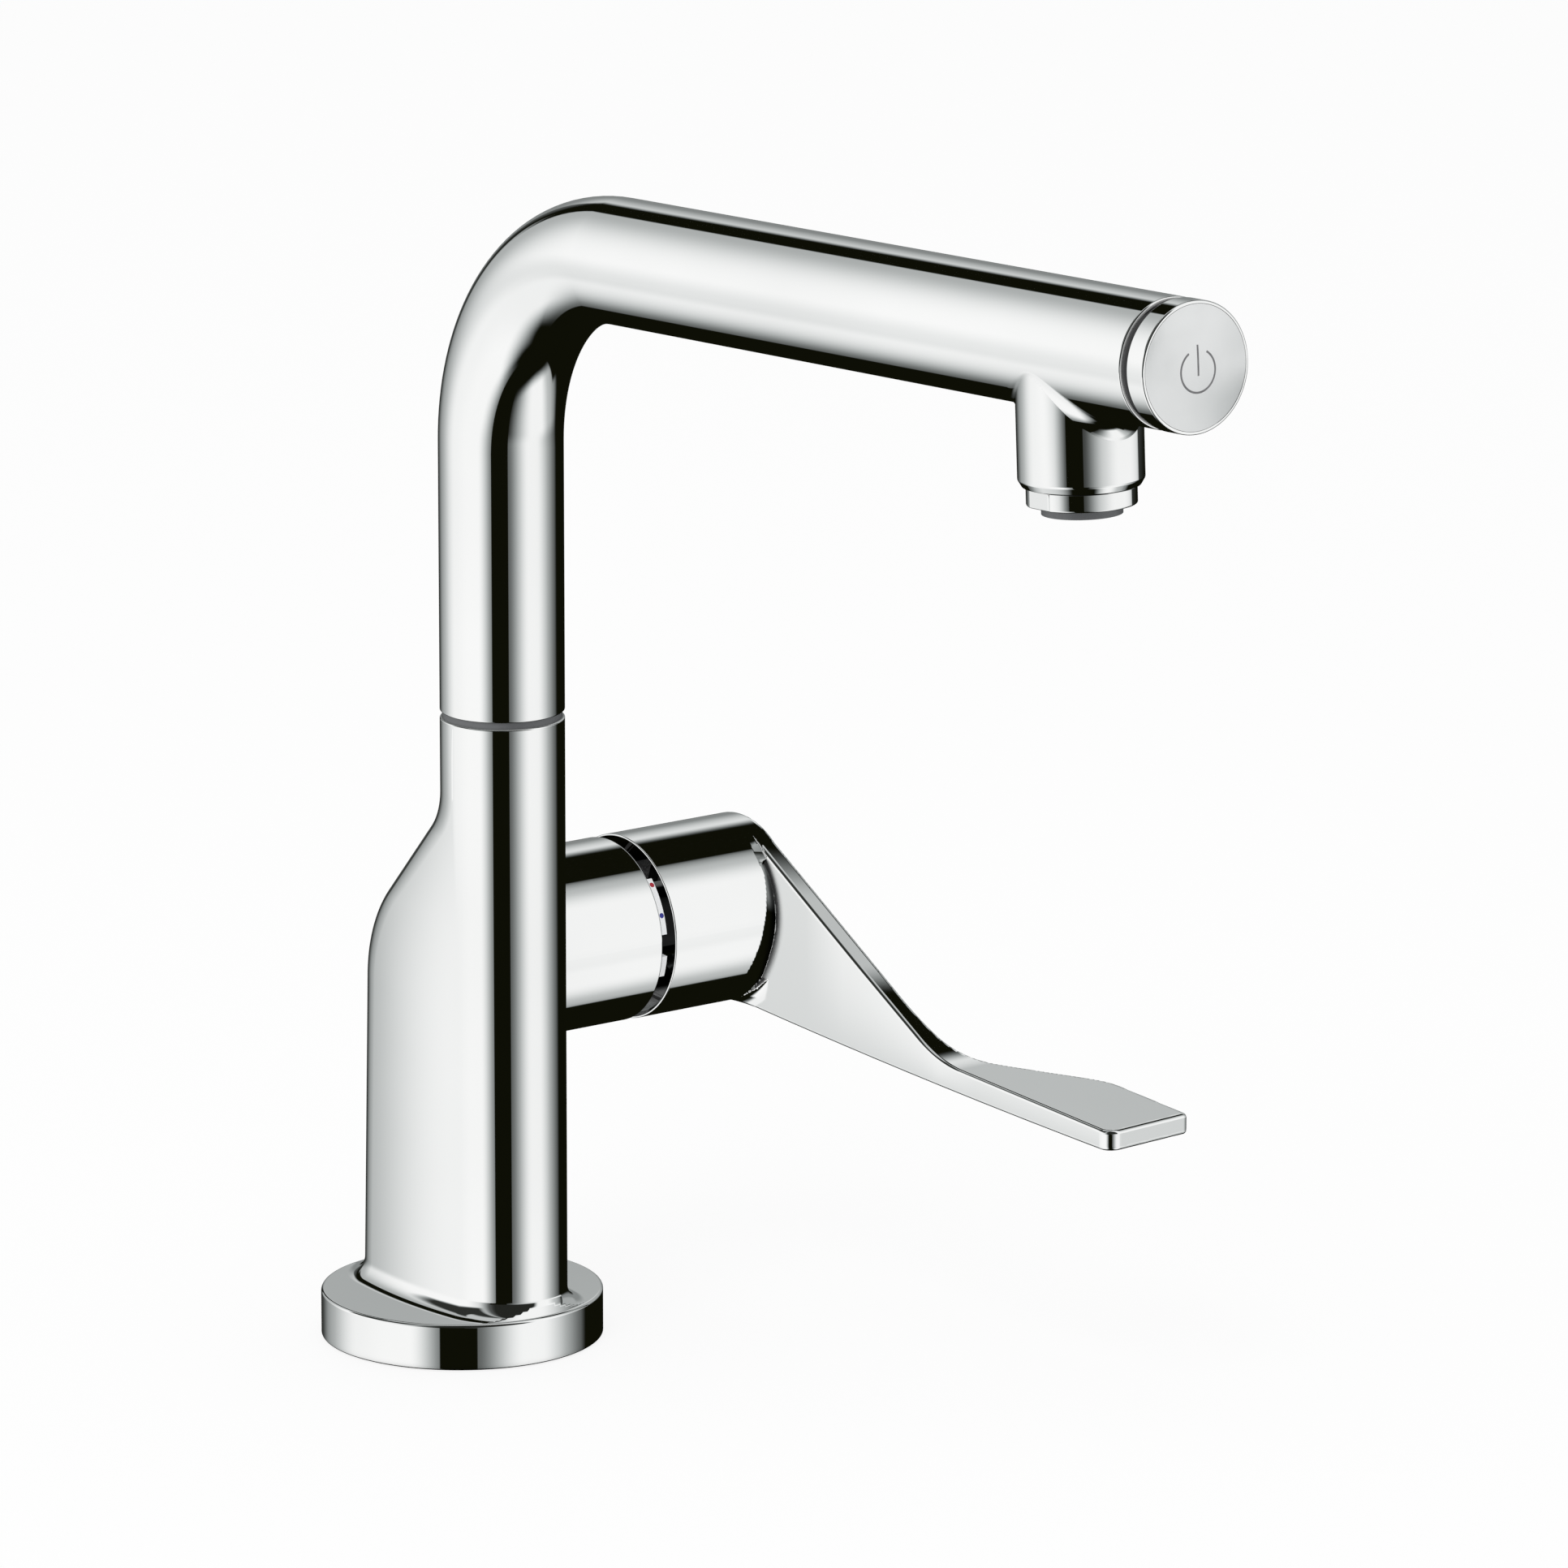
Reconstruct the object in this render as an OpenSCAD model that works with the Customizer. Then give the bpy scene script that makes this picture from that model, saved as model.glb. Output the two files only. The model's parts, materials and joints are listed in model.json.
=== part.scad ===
// Single-lever kitchen mixer tap with a side lever, a swivelling high spout
// and a push button on the spout end. Millimetres, +Z up.
// Origin: centre of the foot on the deck. The spout points to -Y, the lever hub to +X.

/* [Foot] */
// Diameter of the round foot
foot_d = 64; // [60:1:78]
// Height of the round foot
foot_h = 10.6; // [9:0.2:13]
// Radius of the hollow fillet between foot and body
foot_fillet = 4; // [2:0.5:5]
// How far the body's front stays inside the foot's edge
body_inset = 1.1; // [1:0.1:3]
// Width of the sealing ring under the foot
gasket_w = 4.8; // [3:0.2:5]
// Depth of the groove for the sealing ring
gasket_h = 1.6; // [1:0.2:3]

/* [Body] */
// Height of the body top above the deck
body_top = 147; // [142:1:177]
// Height where the round neck ends and the shoulder starts
shoulder_top = 130; // [128:1:132]
// Steepness of the shoulder from the vertical, degrees
shoulder_angle = 42.5; // [35:0.5:45]
// Radius of the hollow curve at the top of the shoulder
shoulder_hollow_r = 14; // [10:1:16]
// Radius of the round curve at the foot of the shoulder
shoulder_round_r = 32; // [26:1:34]
// Distance from the foot centre back to the rear curve's centre under the shoulder
rear_offset = 12; // [11:0.5:14]
// How much further back that centre lies at the foot
rear_taper = 2; // [0:0.5:3]

/* [Spout] */
// Outside diameter of the spout tube, the neck and the body's round edges
tube_d = 28; // [26:0.5:34]
// Wall of the spout tube
tube_wall = 1.5; // [1:0.1:2]
// Height of the spout's axis above the deck, on the swivel axis
spout_axis_z = 255.6; // [245:1:310]
// Rise of the spout from the horizontal, degrees
spout_rise = 2.9; // [0:0.1:6]
// Radius of the elbow's centre line
elbow_r = 48; // [40:1:55]
// Length of the spout along its axis, from the swivel axis to its open end
spout_len = 237.5; // [200:0.5:285]
// Distance of the outlet in front of the open end
outlet_back = 31.3; // [28:0.1:34]
// Outside diameter of the outlet branch
outlet_d = 26.8; // [25:0.1:28]
// Length of the outlet branch below the spout's axis
outlet_drop = 29.3; // [28:0.1:35]
// Limit of the swivel to each side, degrees
swivel_limit = 75; // [30:5:80]

/* [Button] */
// Gap left between the spout end and the pressed button
button_stop_gap = 0.7; // [0.6:0.1:2]
// Thickness of the button's rim
button_h = 5.3; // [4:0.1:8]
// How far the button is pressed in
button_travel = 1.7; // [1:0.1:2.2]
// Diameter of the button's inlaid disc
disc_inlay_d = 26.6; // [22:0.1:26.8]

/* [Lever] */
// Height of the lever hub's axis above the deck
hub_z = 87.9; // [84:0.1:90]
// Diameter of the hub
hub_d = 42.2; // [42:0.2:51]
// Distance from the foot centre to the hub's open rim
hub_end = 41.4; // [41.4:0.1:42]
// Gap between the hub's rim and the lever's sleeve
hub_gap = 3.6; // [3.4:0.1:4]
// Distance from the foot centre to the lever's outer end face
sleeve_end = 79.5; // [78:0.5:90]
// Wall of the lever's sleeve
sleeve_wall = 1.25; // [1:0.05:1.5]
// Thickness of the lever's blade
blade_t = 4.5; // [3.5:0.5:5]
// Reach of the lever forward of its hub axis
lever_reach = 141; // [125:1:170]
// Width of the lever's flat grip
grip_w = 24; // [18:0.5:30]
// Limit of the lever downwards for cold, degrees
cold_limit = 20; // [5:1:20]
// Limit of the lever upwards for hot, degrees
hot_limit = 70; // [40:5:70]
// Limit of the lever outwards for full flow, degrees
flow_limit = 18; // [10:1:18]

/* [Cartridge] */
// Diameter of the mixing cartridge
cartridge_d = 34.8; // [34:0.2:35]
// Thickness of the fixed ceramic disc
fixed_disc_t = 3.3; // [3:0.1:3.5]
// Thickness of the moving ceramic disc
moving_disc_t = 3.6; // [3:0.1:3.6]
// Side of the lever's square stem
stem_w = 7; // [6:0.5:7]

/* [Mounts] */
// Wall radius of the two inlet threads, for M10 x 1
inlet_r = 4.5; // [4:0.1:5]
// Depth of the inlet threads
inlet_depth = 14; // [10:1:18]
// Wall radius of the fixing stud's thread, for M8
stud_r = 3.4; // [2.5:0.1:4]
// Depth of the fixing stud's thread
stud_depth = 16; // [10:1:20]

/* [Hidden] */

$fn = 64;
// Reaches past a cut face
eps = 1;
// Gap between pieces that sit still in each other
seat_gap = 0.05;
// Radial gap round a pressed pin or rod
press_gap = 0.02;
// Radial gap between pieces that turn or slide in each other
run_gap = 0.05;
// Free gap between faces that pass each other
pass_gap = 0.1;

// Body section
tube_r = tube_d / 2;
tube_in_r = tube_r - tube_wall;
swivel_offset = foot_d / 2 - tube_r - body_inset;
swivel_y = -swivel_offset;
body_rings = 6;
body_points = 56;
hollow_dy = shoulder_hollow_r * (1 - cos(shoulder_angle));
hollow_dz = shoulder_hollow_r * sin(shoulder_angle);
round_dy = shoulder_round_r * (1 - cos(shoulder_angle));
round_dz = shoulder_round_r * sin(shoulder_angle);
shoulder_line_dy = swivel_offset + rear_offset - hollow_dy - round_dy;
shoulder_line_dz = shoulder_line_dy / tan(shoulder_angle);
shoulder_low = shoulder_top - hollow_dz - shoulder_line_dz - round_dz;
fillet_top = foot_h + foot_fillet;
foot_r = foot_d / 2;
foot_edge = 0.6;
fillet_margin = 0.3;
fillet_rings = 5;
// How far the sealing ring lies inside the foot's edge
gasket_inset = 3.1;
gasket_r = foot_r - gasket_inset;

// Swivel joint, from the tube wall inwards
socket_wall = 2.75;
socket_r = tube_in_r - seat_gap;
socket_bore = socket_r - socket_wall;
socket_floor = body_top + 2;
socket_len = 48;
socket_lid = 6;
post_gap = 0.2;
post_r = socket_bore - post_gap;
post_bore = post_r - 3.5;
post_root = 18.5;
post_len = 41;
post_collar_r = tube_r - 2.5;
post_collar_h = 1.3;
slip_h = 1.5;
tube_foot = body_top + slip_h + pass_gap;
slip_r = tube_r - 0.6;
glide_h = 5;
glide_groove = 0.6;
lower_glide_z = body_top + 7;
upper_glide_z = body_top + 32;
clip_z = body_top + 15;
clip_h = 1.4;
clip_groove = 1.1;
clip_out = 1.2;
clip_arc = 300;
clip_room = 0.2;
o_ring_t = 0.75;
o_ring_z = [body_top + 21, body_top + 27];
stop_z = body_top + 3.6;
stop_r = 1;
stop_in = 1.9;
stop_out = 1.9;
stop_room = 0.4;
stop_spread = asin((stop_r + 2 * pass_gap) / post_r);

// Water ways in the body
way_r = 3;
port_r = 2.4;
mixed_r = 3;
cold_pos = [3, -9.5];
hot_pos = [-7, 9.5];
port_ring = 8;
port_turn = [-15, 75, 210];
mixed_x = 3.5;
mixed_rise = 15.1;
mixed_top = hub_z + mixed_rise;
// A port's place in front of the hub axis and above it, by its turn from the lever's direction
function port_y(i) = -port_ring * cos(port_turn[i]);
function port_z(i) = hub_z + port_ring * sin(port_turn[i]);
function port_size(i) = i == 2 ? mixed_r : port_r;

// Cartridge, outwards along the hub axis
hub_r = hub_d / 2;
floor_x = 9.7;
cartridge_r = cartridge_d / 2;
cartridge_bore = cartridge_r + 0.2;
base_t = 3;
port_seal_t = 1;
port_seal_w = 1.3;
fixed_disc_x = floor_x + base_t;
moving_disc_x = fixed_disc_x + fixed_disc_t + press_gap;
moving_disc_r = 9.8;
fixed_disc_r = 13.5;
pocket_r = 6;
pocket_off = 2.5;
pocket_depth = 1.8;
driver_x = moving_disc_x + moving_disc_t;
driver_t = 4.7;
driver_r = 10;
carrier_x = driver_x + driver_t + pass_gap;
carrier_r = 11;
carrier_rim_r = 12.8;
carrier_rim_t = 1.5;
carrier_len = 10.7;
cavity_end = carrier_x + carrier_rim_t + pass_gap;
cavity_r = 13.8;
// Lugs that stop the turn of the carrier in the housing: half the carrier lug's width, and its play
lug_turn = 5;
lug_play = 1;
housing_step_x = 31;
housing_end = 35;
housing_neck_r = 13.5;
nut_r = cartridge_r + 1;
nut_end = 36.5;
thread_bore = nut_r + seat_gap;
thread_x = 30.5;
pivot_x = 30;
ball_arm = 7.5;
ball_r = 2.5;
ball_room = 0.2;
ball_neck_r = 1.6;
stem_in_x = 26;
stem_out_x = 62.5;
pin_r = 1.5;
pin_half = 10;
slot_room = 0.65;
slot_half = stem_w / 2 / cos(flow_limit) + (carrier_x + carrier_len - pivot_x) * tan(flow_limit) + slot_room;
dome_wall = 1.2;
dome_mouth = 10.5;
dome_x = nut_end;
dome_r = norm([nut_r, dome_x - pivot_x]);

// Indicator ring on the hub's rim
hoop_out = hub_r - 1.1;
hoop_in = hub_r - 2.4;
hoop_depth = 1.4;
tab_out = hub_r - 0.3;
tab_h = 1.4;
// Start and end of each raised part, degrees up from the lever's forward direction
tab_spans = [[-20.5, -6.7], [7.5, 44.5]];
hot_turn = 40;
cold_turn = 19.5;
tab_root = 0.5;
mark_r = 0.6;
mark_t = 0.5;

// Lever
sleeve_proud = 0.15;
sleeve_r = hub_r + sleeve_proud;
sleeve_x = hub_end + hub_gap;
sleeve_in = sleeve_r - sleeve_wall;
sleeve_deep_in = sleeve_in - 1.5;
sleeve_step_x = 57;
boss_r = 8.5;
boss_x = 50.5;
end_wall = 5.5;
blade_x = sleeve_end - blade_t;
blade_tuck = 0.05;
blade_root = 5;
edge_slope = 29.05;
grip_slope = 2.8;
grip_top = -15.7;
grip_bend_r = 35;
heel_slope = 0.0664;
heel_curve = 0.000164;
flare_start = 61;
flare_r = 62;
flare_angle = 30.3;
flare_corner_r = 16;
tip_skew = 2;
tip_round = 1.5;
curve_steps = 8;
grub_x = 60;
grub_r = 2.1;
grub_key_r = 1.15;
grub_key_depth = 2;
plug_r = 2.6;
plug_t = 1.6;
plug_inset = 0.15;

// Spout end, along the spout's rising axis
spout_turn = 90 - spout_rise;
elbow_run = elbow_r * tan(spout_turn / 2);
elbow_z = spout_axis_z - elbow_run;
bead_w = 1.2;
bead_h = 0.3;
outlet_s = spout_len - outlet_back;
waterway_r = 5;
waterway_in = 3.8;
pipe_gap = 0.5;
branch_root = tube_in_r - 2;
branch_tip = 1.5;
branch_taper = 1;
branch_bore = 7.2;
housing_s = outlet_s - 20.2;
housing_r = tube_in_r - pass_gap;
housing_bore = housing_r - 3.2;
housing_rear = 5;
housing_flange = 0.5;
flange_r = tube_r - 0.9;
housing_port_r = 5.4;
seal_inset = 0.8;
seal_places = [housing_s + 2.5, spout_len - 5];
valve_out_r = housing_bore - seat_gap;
seat_s = outlet_s - 9.1;
seat_t = 3;
seat_hole = 4.2;
poppet_r = 7;
poppet_t = 2.5;
poppet_seal_t = 1;
poppet_seal_in = 0.5;
rod_r = 2.5;
guide_s = outlet_s + 6;
guide_t = 4;
rod_seal_t = 0.6;
rod_seal_w = 1.3;
button_gap = button_travel + button_stop_gap;
button_s = spout_len + button_gap;
button_face = button_s + button_h;
button_r = tube_r + 0.05;
inlay_t = 1.2;
skirt_out = housing_bore - run_gap;
skirt_in = skirt_out - 1.5;
skirt_len = 15;
// The cap's hollow goes this far into its rim, and the rod this far into its middle boss
cap_hollow = 1.5;
rod_hold = 3;
boss_short = 4;
rod_boss_r = 4.2;
spring_r = 5.9;
spring_wire = 0.5;
spring_turns = 6;
spring_rings = 10;
spring_sides = 8;
spring_steps = spring_turns * spring_rings;
spring_s0 = guide_s + guide_t + spring_wire + pass_gap;
spring_s1 = button_s + cap_hollow - spring_wire - pass_gap;
symbol_depth = 0.15;
symbol_r = 4.5;
symbol_line = 0.45;
symbol_gap = 62;
symbol_bar = 6.5;
symbol_drop = 0.6;

// Aerator, downwards along the outlet
thread_d = 18;
aerator_thread_r = 11;
aerator_seal_t = 1.3;
collar_top = thread_d + aerator_seal_t + pass_gap;
collar_drop = 3.9;
collar_r = 11.7;
collar_flats = 22.4;
collar_bore = 9.4;
collar_lip_r = 8.7;
collar_end = outlet_drop + pass_gap + collar_drop;
collar_lip_t = 1;
insert_step = 2;
insert_proud = 2;
insert_end = collar_end + insert_proud;
screen_t = 0.5;
jet_r = 0.8;
jet_pitch = 2.6;

// Places with local +Z along the hub axis, the spout's axis and the outlet
module on_hub_axis(x) { translate([x, 0, hub_z]) rotate([0, 90, 0]) children(); }
module on_spout_axis(s) {
    translate([0, swivel_y, spout_axis_z]) rotate([spout_turn, 0, 0]) translate([0, 0, s]) children();
}
module on_outlet_axis(d) { on_spout_axis(outlet_s) rotate([90, 0, 0]) translate([0, 0, d]) children(); }
module on_swivel_axis(z) { translate([0, swivel_y, z]) children(); }

// A round tube with its foot at the origin
module ring(r_out, r_in, h) {
    difference() {
        cylinder(r = r_out, h = h);
        translate([0, 0, -eps]) cylinder(r = r_in, h = h + 2 * eps);
    }
}

// A part of a ring, turned from a0 to a1
module ring_part(r_out, r_in, h, a0, a1) {
    rotate([0, 0, a0]) rotate_extrude(angle = a1 - a0) translate([r_in, 0]) square([r_out - r_in, h]);
}

// A ring of round section
module o_ring(r_centre, r_section) {
    rotate_extrude() translate([r_centre, 0]) circle(r = r_section);
}

// The spout's route: up, round the elbow and forward to s_end.
// A low bead inside each end of the elbow ties the bent run to the straight ones.
module along_spout(r_out, r_in, z0, s_end) {
    bead_r = (r_out + r_in) / 2;
    on_swivel_axis(z0) ring(r_out, r_in, elbow_z - z0);
    on_swivel_axis(elbow_z - bead_w / 2) ring(bead_r, r_in - bead_h, bead_w);
    on_spout_axis(elbow_run - bead_w / 2) ring(bead_r, r_in - bead_h, bead_w);
    translate([0, swivel_y - elbow_r, elbow_z]) rotate([90, 0, 90])
        rotate_extrude(angle = spout_turn) translate([elbow_r, 0]) difference() {
            circle(r = r_out);
            circle(r = r_in);
        }
    on_spout_axis(elbow_run) ring(r_out, r_in, s_end - elbow_run);
}

// Body: places of the rear curve's centre by height, down the shoulder and the tapered back
function hollow_ring(i) = let (a = shoulder_angle * i / body_rings)
    [shoulder_top - shoulder_hollow_r * sin(a), swivel_y + shoulder_hollow_r * (1 - cos(a))];
function round_ring(i) = let (a = shoulder_angle * (1 - i / body_rings))
    [shoulder_low + shoulder_round_r * sin(a), rear_offset - shoulder_round_r * (1 - cos(a))];
function back_y(z) = rear_offset + rear_taper * (shoulder_low - z) / (shoulder_low - foot_h);
// How far the fillet stands out from the body at a height
function fillet_out(z) = let (d = z - fillet_top)
    z >= fillet_top ? 0 : foot_fillet - sqrt(max(0, foot_fillet * foot_fillet - d * d));
fillet_zs = [for (i = [0 : fillet_rings - 1]) fillet_top - foot_fillet * sin(90 * i / fillet_rings)];
body_sections = concat(
    [[body_top, swivel_y]],
    [for (i = [0 : body_rings]) hollow_ring(i)],
    [for (i = [0 : body_rings]) round_ring(i)],
    [for (z = fillet_zs) [z, back_y(z)]],
    [[foot_h - eps, back_y(foot_h)]]
);
// Outline point i at a section, moved out by the fillet but kept on the foot
function outline_point(i, yb, out) =
    let (a = (i + 0.5) * 360 / body_points, n = [cos(a), sin(a)])
    let (c = [0, sin(a) > 0 ? yb : swivel_y], p = c + tube_r * n, along = p * n)
    let (edge = foot_r - foot_edge - fillet_margin)
    let (room = sqrt(max(0, along * along + edge * edge - p * p)) - along)
    p + min(out, max(0, room)) * n;
body_mesh_points = [
    for (s = body_sections) let (out = fillet_out(max(s[0], foot_h + press_gap)))
        for (i = [0 : body_points - 1]) let (q = outline_point(i, s[1], out)) [q[0], q[1], s[0]]
];
body_mesh_faces = let (n = body_points, m = len(body_sections)) concat(
    [[for (i = [n - 1 : -1 : 0]) i]],
    [[for (i = [0 : n - 1]) (m - 1) * n + i]],
    [for (k = [0 : m - 2]) for (i = [0 : n - 1]) [k * n + i, k * n + (i + 1) % n, (k + 1) * n + i]],
    [for (k = [0 : m - 2]) for (i = [0 : n - 1])
        [k * n + (i + 1) % n, (k + 1) * n + (i + 1) % n, (k + 1) * n + i]]
);

module body_solid() {
    polyhedron(points = body_mesh_points, faces = body_mesh_faces);
    cylinder(r = foot_r, h = foot_h - foot_edge);
    translate([0, 0, foot_h - foot_edge]) cylinder(r1 = foot_r, r2 = foot_r - foot_edge, h = foot_edge);
    on_hub_axis(0) cylinder(r = hub_r, h = hub_end);
}

// Bores for hot, cold and mixed water
module body_ways() {
    for (pos = [cold_pos, hot_pos]) translate([pos[0], pos[1], -eps])
        cylinder(r = inlet_r, h = inlet_depth + eps);
    translate([cold_pos[0], cold_pos[1], 0]) cylinder(r = way_r, h = port_z(0));
    translate([hot_pos[0], hot_pos[1], 0]) cylinder(r = way_r, h = port_z(1));
    translate([hot_pos[0], hot_pos[1], port_z(1)]) rotate([90, 0, 0])
        cylinder(r = way_r, h = hot_pos[1] - port_y(1));
    starts = [cold_pos[0], hot_pos[0], mixed_x];
    for (i = [0 : 2]) translate([starts[i], port_y(i), port_z(i)]) rotate([0, 90, 0])
        cylinder(r = port_size(i), h = floor_x - starts[i] + eps);
    translate([mixed_x, port_y(2), port_z(2)]) cylinder(r = mixed_r, h = mixed_top - port_z(2));
    translate([mixed_x, port_y(2), mixed_top]) rotate([90, 0, 0])
        cylinder(r = mixed_r, h = port_y(2) - swivel_y);
    on_swivel_axis(mixed_top - mixed_r) cylinder(r = post_bore, h = body_top);
}

module body() {
    color("silver") difference() {
        body_solid();
        body_ways();
        on_swivel_axis(body_top - post_root) cylinder(r = post_r + seat_gap, h = post_root + eps);
        translate([0, 0, -eps]) cylinder(r = stud_r, h = stud_depth + eps);
        translate([0, 0, -eps])
            ring(gasket_r + pass_gap, gasket_r - gasket_w - pass_gap, gasket_h + eps);
        on_hub_axis(floor_x) cylinder(r = cartridge_bore, h = hub_end);
        on_hub_axis(thread_x) cylinder(r = thread_bore, h = hub_end);
        on_hub_axis(hub_end - hoop_depth) cylinder(r = hoop_out + seat_gap, h = hoop_depth + eps);
    }
}

module deck_gasket() { color("black") ring(gasket_r, gasket_r - gasket_w, gasket_h); }

// Brass pipe in the body's neck that the spout turns on
module spout_post() {
    color("goldenrod") on_swivel_axis(body_top) difference() {
        union() {
            translate([0, 0, -post_root]) cylinder(r = post_r, h = post_root + post_len);
            cylinder(r = post_collar_r, h = post_collar_h);
        }
        translate([0, 0, -post_root - eps]) cylinder(r = post_bore, h = post_root + post_len + 2 * eps);
        for (z = [lower_glide_z, upper_glide_z]) translate([0, 0, z - body_top])
            ring(post_r + eps, post_r - glide_groove, glide_h);
        translate([0, 0, clip_z - body_top])
            ring(post_r + eps, post_r - clip_groove, clip_h + clip_room);
        for (z = o_ring_z) translate([0, 0, z - body_top - o_ring_t])
            ring(post_r + eps, post_r - 2 * o_ring_t + pass_gap, 2 * o_ring_t);
        translate([0, post_r - stop_in, stop_z - body_top]) rotate([-90, 0, 0])
            cylinder(r = stop_r + press_gap, h = stop_in + eps);
    }
}

module stop_pin() {
    color("gray") on_swivel_axis(stop_z) translate([0, post_r - stop_in, 0]) rotate([-90, 0, 0])
        cylinder(r = stop_r, h = stop_in + stop_out);
}

module slip_ring() {
    color("dimgray") on_swivel_axis(body_top) ring(slip_r, post_collar_r + pass_gap, slip_h);
}

module glide_ring(z) {
    color("white") on_swivel_axis(z) ring(socket_bore - run_gap, post_r - glide_groove, glide_h);
}
module lower_glide_ring() { glide_ring(lower_glide_z); }
module upper_glide_ring() { glide_ring(upper_glide_z); }

module post_o_rings() {
    color("black") for (z = o_ring_z) on_swivel_axis(z)
        o_ring(post_r - o_ring_t + pass_gap, o_ring_t - pass_gap / 2);
}

// Split ring that keeps the spout from lifting off
module retaining_clip() {
    color("gray") on_swivel_axis(clip_z + pass_gap)
        ring_part(socket_bore + clip_out, post_r - clip_groove + seat_gap, clip_h,
            90 - clip_arc / 2, 90 + clip_arc / 2);
}

module spout() {
    color("silver") difference() {
        union() {
            along_spout(tube_r, tube_in_r, tube_foot, spout_len);
            on_outlet_axis(branch_root)
                ring(outlet_d / 2, aerator_thread_r, outlet_drop - branch_tip - branch_root);
            on_outlet_axis(outlet_drop - branch_tip) difference() {
                cylinder(r1 = outlet_d / 2, r2 = outlet_d / 2 - branch_taper, h = branch_tip);
                translate([0, 0, -eps]) cylinder(r = aerator_thread_r, h = branch_tip + 2 * eps);
            }
            on_outlet_axis(branch_root)
                ring(outlet_d / 2 - branch_taper, branch_bore, thread_d - branch_root);
        }
        on_spout_axis(housing_s) cylinder(r = tube_in_r, h = spout_len - housing_s + eps);
        on_outlet_axis(0) cylinder(r = branch_bore, h = tube_r + eps);
    }
}

// Brass sleeve fixed in the foot of the spout tube
module spout_socket() {
    color("goldenrod") on_swivel_axis(socket_floor) difference() {
        cylinder(r = socket_r, h = socket_len);
        translate([0, 0, -eps]) cylinder(r = socket_bore, h = socket_len - socket_lid + eps);
        translate([0, 0, socket_len - socket_lid - eps])
            cylinder(r = waterway_r + seat_gap, h = socket_lid + 2 * eps);
        translate([0, 0, clip_z - socket_floor - clip_room])
            ring(socket_bore + clip_out + clip_room + pass_gap, socket_bore - eps, clip_h + 3 * clip_room);
        translate([0, 0, -eps])
            ring_part(socket_r + eps, socket_bore - eps, stop_z - socket_floor + stop_r + stop_room + eps,
                90 - swivel_limit - stop_spread, 90 + swivel_limit + stop_spread);
    }
}

// Inner pipe from the swivel socket to the valve
module waterway_tube() {
    color("peru") along_spout(waterway_r, waterway_in, socket_floor + socket_len - socket_lid + pipe_gap,
        housing_s + housing_rear - pipe_gap);
}

module valve_housing() {
    color("dimgray") on_spout_axis(housing_s) difference() {
        union() {
            cylinder(r = housing_r, h = spout_len - housing_s);
            translate([0, 0, spout_len - housing_s]) cylinder(r = flange_r, h = housing_flange);
        }
        translate([0, 0, housing_rear]) cylinder(r = housing_bore, h = spout_len - housing_s);
        translate([0, 0, -eps]) cylinder(r = waterway_r + seat_gap, h = housing_rear + 2 * eps);
        for (s = seal_places) translate([0, 0, s - housing_s - seal_inset])
            ring(housing_r + eps, housing_r - 2 * seal_inset + pass_gap, 2 * seal_inset);
        translate([0, 0, outlet_s - housing_s]) rotate([90, 0, 0])
            cylinder(r = housing_port_r, h = tube_r);
    }
}

module housing_seals() {
    color("black") for (s = seal_places) on_spout_axis(s)
        o_ring(housing_r - seal_inset + seat_gap, seal_inset - pass_gap);
}

module valve_seat() { color("white") on_spout_axis(seat_s) ring(valve_out_r, seat_hole, seat_t); }

module rod_guide() {
    color("white") on_spout_axis(guide_s) difference() {
        ring(valve_out_r, rod_r + run_gap, guide_t);
        translate([0, 0, guide_t / 2 - rod_seal_t]) ring(rod_r + rod_seal_w, rod_r, 2 * rod_seal_t);
    }
}

module rod_seal() {
    color("black") on_spout_axis(guide_s + guide_t / 2)
        o_ring(rod_r + rod_seal_w / 2 + run_gap / 2, rod_seal_t - run_gap);
}

module aerator_collar() {
    color("silver") on_outlet_axis(0) difference() {
        union() {
            translate([0, 0, collar_top])
                cylinder(r = aerator_thread_r - seat_gap, h = outlet_drop + pass_gap - collar_top);
            translate([0, 0, outlet_drop + pass_gap]) intersection() {
                cylinder(r = collar_r, h = collar_drop);
                translate([-collar_flats / 2, -collar_r, 0]) cube([collar_flats, 2 * collar_r, collar_drop]);
            }
        }
        translate([0, 0, collar_top - eps])
            cylinder(r = collar_bore, h = collar_end - collar_lip_t - collar_top + eps);
        cylinder(r = collar_lip_r, h = collar_end + eps);
    }
}

module aerator_seal() {
    color("black") on_outlet_axis(thread_d) ring(aerator_thread_r - pass_gap, collar_bore, aerator_seal_t);
}

// Round jets in rings round a middle one
module jets(h) {
    translate([0, 0, -eps]) cylinder(r = jet_r, h = h + 2 * eps);
    for (k = [1 : 2]) for (i = [0 : 6 * k - 1]) rotate([0, 0, 60 * i / k])
        translate([jet_pitch * k, 0, -eps]) cylinder(r = jet_r, h = h + 2 * eps);
}

module flow_screen() {
    color("silver") on_outlet_axis(collar_top) difference() {
        cylinder(r = collar_bore - pass_gap, h = screen_t);
        jets(screen_t);
    }
}

module aerator_insert() {
    insert_top = collar_top + screen_t;
    lip_top = collar_end - insert_step;
    color("gray") on_outlet_axis(insert_top) difference() {
        union() {
            cylinder(r = collar_bore - pass_gap, h = lip_top - insert_top);
            cylinder(r = collar_lip_r - pass_gap, h = insert_end - insert_top);
        }
        jets(insert_end - insert_top);
    }
}

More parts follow.
